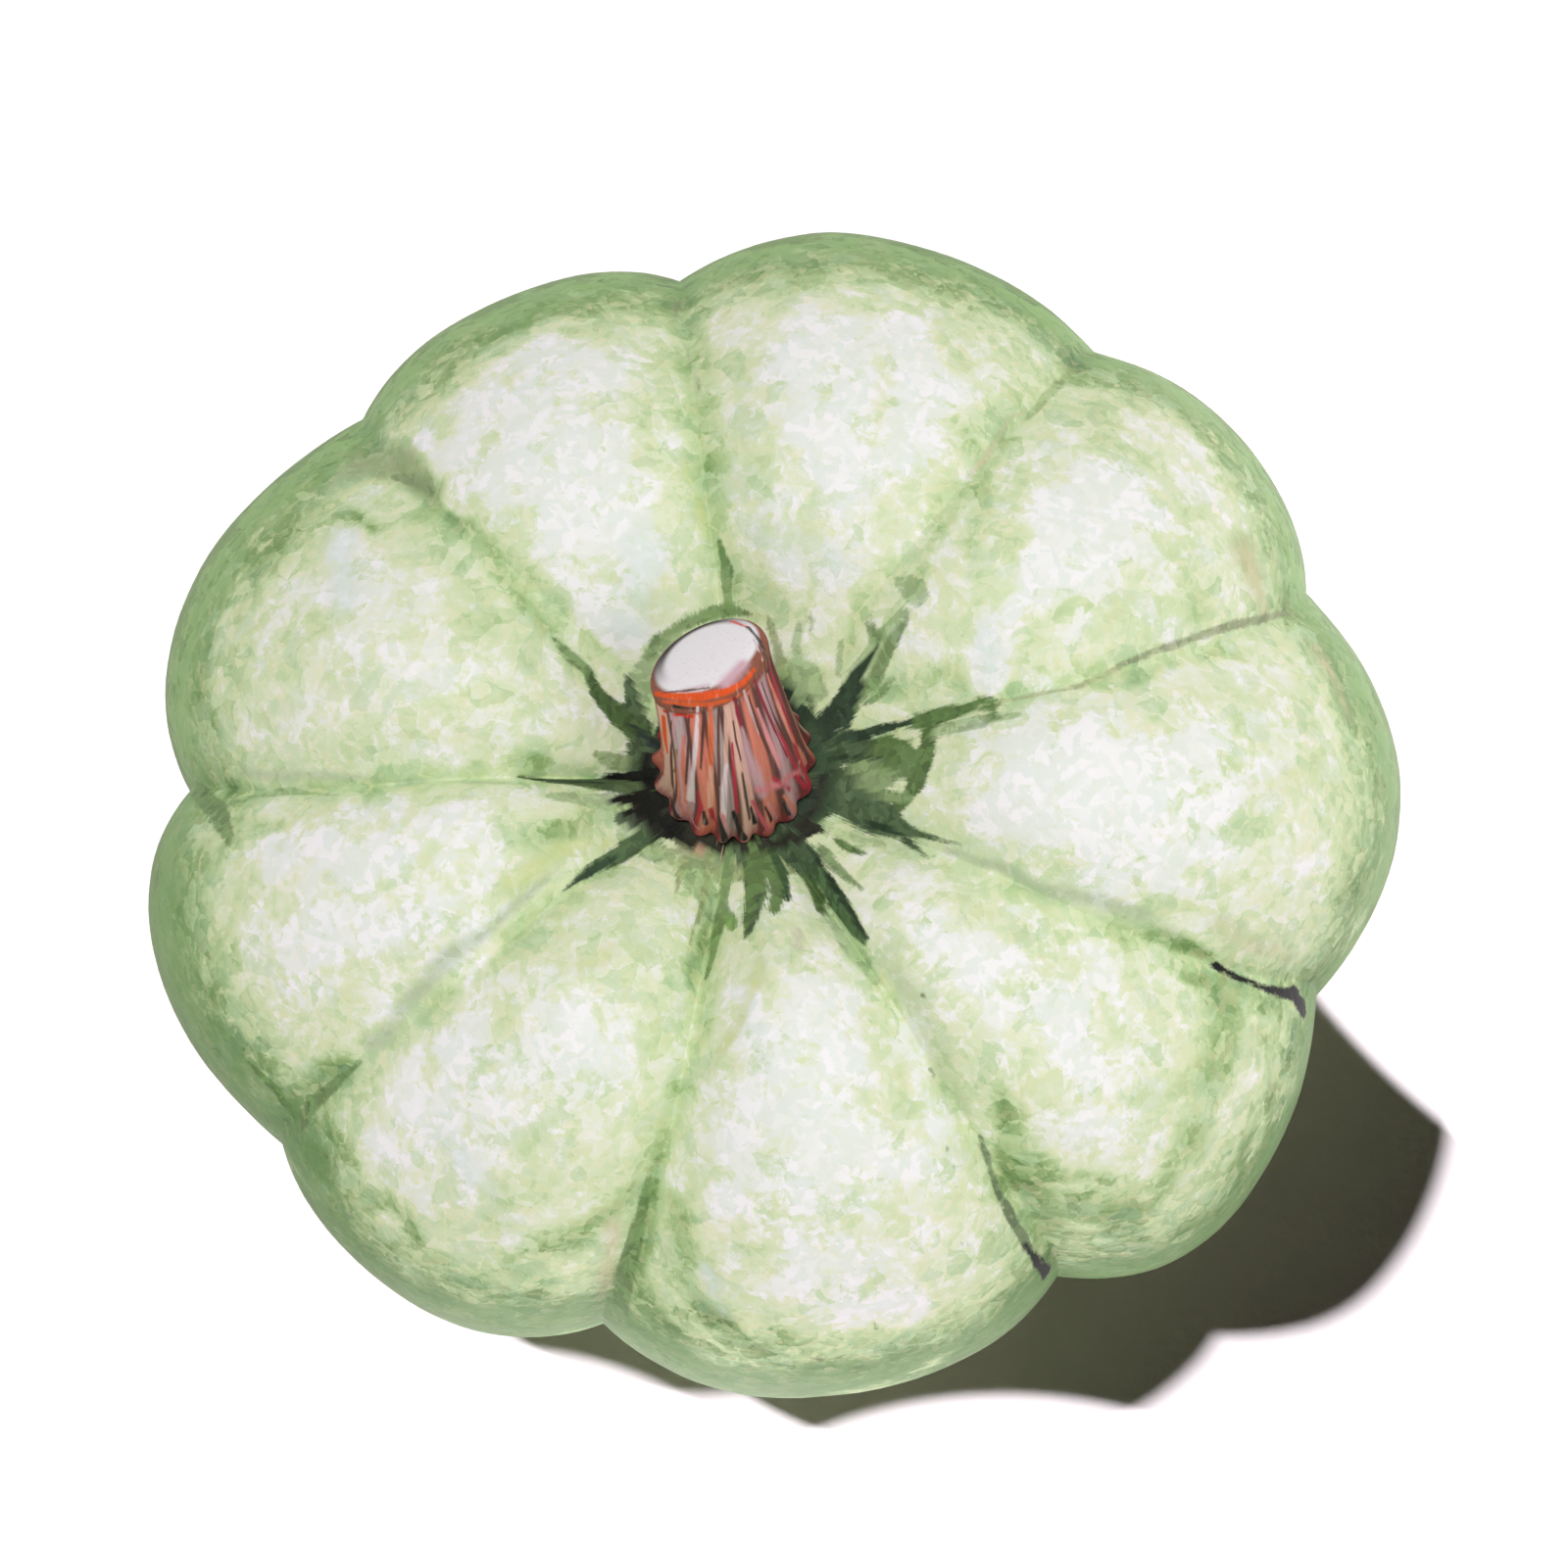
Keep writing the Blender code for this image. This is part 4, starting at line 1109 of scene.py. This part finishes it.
# %% Touches on the near side of the stem
FLAME = paint(238, 88, 18)
RED = paint(222, 56, 30)
WINE = paint(148, 40, 56)
PINK = paint(226, 150, 150)
# The white pink is a painted highlight on two rib backs.
SHELL_HIGHLIGHT = paint(242, 222, 222)
GREY = paint(192, 176, 172)
BROWN = paint(92, 58, 48)
# The near-black paint is painted shade, under the lip and in the gaps between the toes.
DEEP_SHADE = paint(34, 30, 28)
STEM_TOUCHES = (
    # cut and lip, with painted shade on the cut's right side and under the lip
    ((740,698, 758,678), (13, 11), paint(216, 176, 186), 1.0),
    ((694,706, 722,700), (5, 6), paint(224, 206, 208), 1.0),
    ((728,634, 746,634, 762,640), (2, 3, 2), paint(222, 108, 102)),
    ((763,640, 776,656, 784,678, 788,698), (2.5, 3, 2.5, 1.5), paint(74, 66, 62)),
    ((769,652, 778,674), (1.5, 1.5), paint(212, 206, 204)),
    ((668,708, 690,711, 716,711, 742,706, 760,696, 769,684), (3, 5, 6, 5, 3), FLAME, 0.5),
    ((676,716, 702,719, 726,719, 748,713, 764,700), (2, 3.5, 4, 3.5, 2), paint(226, 96, 36)),
    ((676,707, 700,705, 724,702), (1, 1.5, 1), BROWN), ((668,718, 688,721, 708,723), (2, 3, 1.5), DEEP_SHADE),
    # left ribs
    ((678,726, 692,729, 706,731), (3, 4, 3), RED), ((677,732, 678,750, 681,768), (4, 4.5, 2), FLAME),
    ((675,770, 677,790), (3.5, 3), RED), ((694,733, 693,750, 690,768), (3.5, 4, 2), GREY),
    ((690,766, 688,788), (3, 2.5), paint(140, 118, 86)), ((685,736, 685,775, 687,812), (1.5, 2.5, 2), BROWN),
    ((691,784, 693,812, 699,832), (3, 4.5, 3), SALMON),
    ((698,752, 697,784, 700,822), (2.5, 4, 2.5), paint(214, 124, 98)),
    ((703,733, 702,765, 700,800), (1.5, 2.5, 1.5), BROWN),
    ((712,722, 711,745, 708,780, 705,816), (2, 3.5, 4.5, 6.5), SHELL_HIGHLIGHT),
    ((718,722, 717,752, 715,784), (1.5, 2.5, 1.5), BROWN),
    ((712,808, 715,824, 710,840), (3, 5, 2.5), CRIMSON), ((699,820, 706,836, 713,846), (2.5, 4, 2), PINK),
    # middle ribs
    ((725,722, 725,750, 726,786), (3.5, 5, 4.5), paint(230, 116, 72)),
    ((726,784, 725,806, 725,828), (4.5, 5, 3.5), paint(238, 178, 148)),
    ((725,826, 731,844), (4, 2), CRIMSON), ((733,724, 733,760, 734,802), (1.5, 2.5, 2), paint(104, 66, 56)),
    ((741,721, 741,750, 741,782), (2.5, 3.5, 3), PEACH), ((741,780, 739,806, 738,834), (3, 5, 4.5), SHELL_HIGHLIGHT),
    ((747,758, 749,790, 752,828), (1.5, 3, 3.5), CRIMSON), ((737,832, 744,850), (4.5, 2), PINK),
    ((749,712, 753,728, 758,746), (2.5, 3.5, 2), WINE), ((748,736, 751,756, 756,776), (1.5, 2, 1.5), BROWN),
    ((757,744, 762,768, 771,792, 779,812), (3.5, 8, 12, 9), MAUVE, 0.9),
    ((757,788, 761,812, 765,836), (2, 3, 2.5), paint(84, 74, 64)),
    # right ribs
    ((759,705, 766,726, 774,748), (2, 3, 1.5), paint(220, 190, 190)),
    ((764,710, 773,740, 784,768), (1.5, 2.5, 1.5), BROWN),
    ((770,694, 779,718, 791,746, 803,772), (2, 3, 3, 2), WINE),
    ((773,724, 784,754, 796,782), (2, 3.5, 3.5), PINK), ((777,696, 790,732, 808,770), (1.5, 2.5, 2), BROWN),
    ((783,688, 794,720, 809,754, 822,780), (2, 3.5, 4.5, 4), SALMON),
    ((790,738, 804,766, 816,792), (1.5, 3, 3), CRIMSON),
    ((774,806, 792,802, 812,790), (7, 11, 8), paint(228, 138, 144), 0.9),
    ((790,794, 806,806), (3.5, 4.5), CRIMSON, 0.8),
    ((768,818, 776,834, 784,848), (2.5, 4, 2), paint(214, 92, 106)),
    ((784,820, 792,836, 802,850), (2.5, 4, 2), PINK), ((800,812, 812,828, 824,840), (2.5, 4, 2), SALMON),
    ((811,792, 822,804, 832,814), (3, 4, 2), CRIMSON), ((816,778, 828,792), (3, 3), PINK),
    # painted shade in the gaps between the toes and under them
    ((667,790, 669,808, 676,828, 688,848), (5, 8, 12, 8), paint(56, 54, 44), 0.5),
    ((684,814, 691,834, 702,852), (2, 6, 8), paint(56, 54, 44), 0.5),
    ((700,854, 728,861, 764,861, 800,855, 828,842), (4, 5, 5, 5, 3), paint(66, 50, 44), 0.5),
    ((718,828, 722,854), (2, 6), DEEP_SHADE, 0.4), ((734,834, 740,858), (1.5, 5), DEEP_SHADE, 0.4),
    ((748,828, 758,856), (2.5, 7), DEEP_SHADE, 0.4), ((766,824, 774,856), (2, 5), DEEP_SHADE, 0.4),
    ((781,824, 794,852), (1.5, 4), DEEP_SHADE, 0.4), ((799,820, 812,844), (1.5, 4), DEEP_SHADE, 0.4),
    ((813,810, 828,826), (1.5, 4), DEEP_SHADE, 0.4),
)
coat = lay_on(stem, bark_places, coat, STEM_TOUCHES, STEM_FADE)
store(stem, "coat", np.column_stack((coat, np.ones(len(coat)))), "FLOAT_COLOR")
around_stem = walk[:, :2] * STEM_RADIUS
store(stem, "fibre_place", np.column_stack((around_stem, ring_at * RING_HEIGHT)), "FLOAT_VECTOR")
store(stem, "bark_share", smooth(ring_at - CUT_ENDS))
print("touches on the stem:", len(STEM_TOUCHES))

# %% [markdown]
# ## The stem's finish
#
# Dry bark splits into fibres along the ribs, and the cut is soft pith with fine pores.
# The stored coat gives the colour, and stretched noise darkens and lightens the fibres.

# %% Stem finish
bark = Finish("dry_bark")
fibre_place = bark.stored("fibre_place", "Vector")
bark_share = bark.stored("bark_share")
splits = bark.noise(fibre_place, 1500, 4)
pores = bark.noise(bark.place(), 1600, 3)
coat_colour = bark.stored("coat", "Color")
darker = bark.rise(splits, 0.5, 0.8) * bark_share * 0.5
coat_colour = bark.mix(darker, coat_colour, paint(92, 62, 56))
lighter = bark.rise(1 - splits, 0.55, 0.8) * bark_share * 0.35
coat_colour = bark.mix(lighter, coat_colour, paint(238, 208, 198))
porous = bark.rise(pores, 0.55, 0.75) * (1 - bark_share) * 0.3
coat_colour = bark.mix(porous, coat_colour, paint(206, 200, 206))
bark.end(
    Base_Color=coat_colour,
    Roughness=0.72 + pores * 0.15,
    Normal=bark.bump(splits * bark_share + pores * 0.3, 0.0004),
)
stem.data.materials.append(bark.material)
stand_for(stem, "stem")
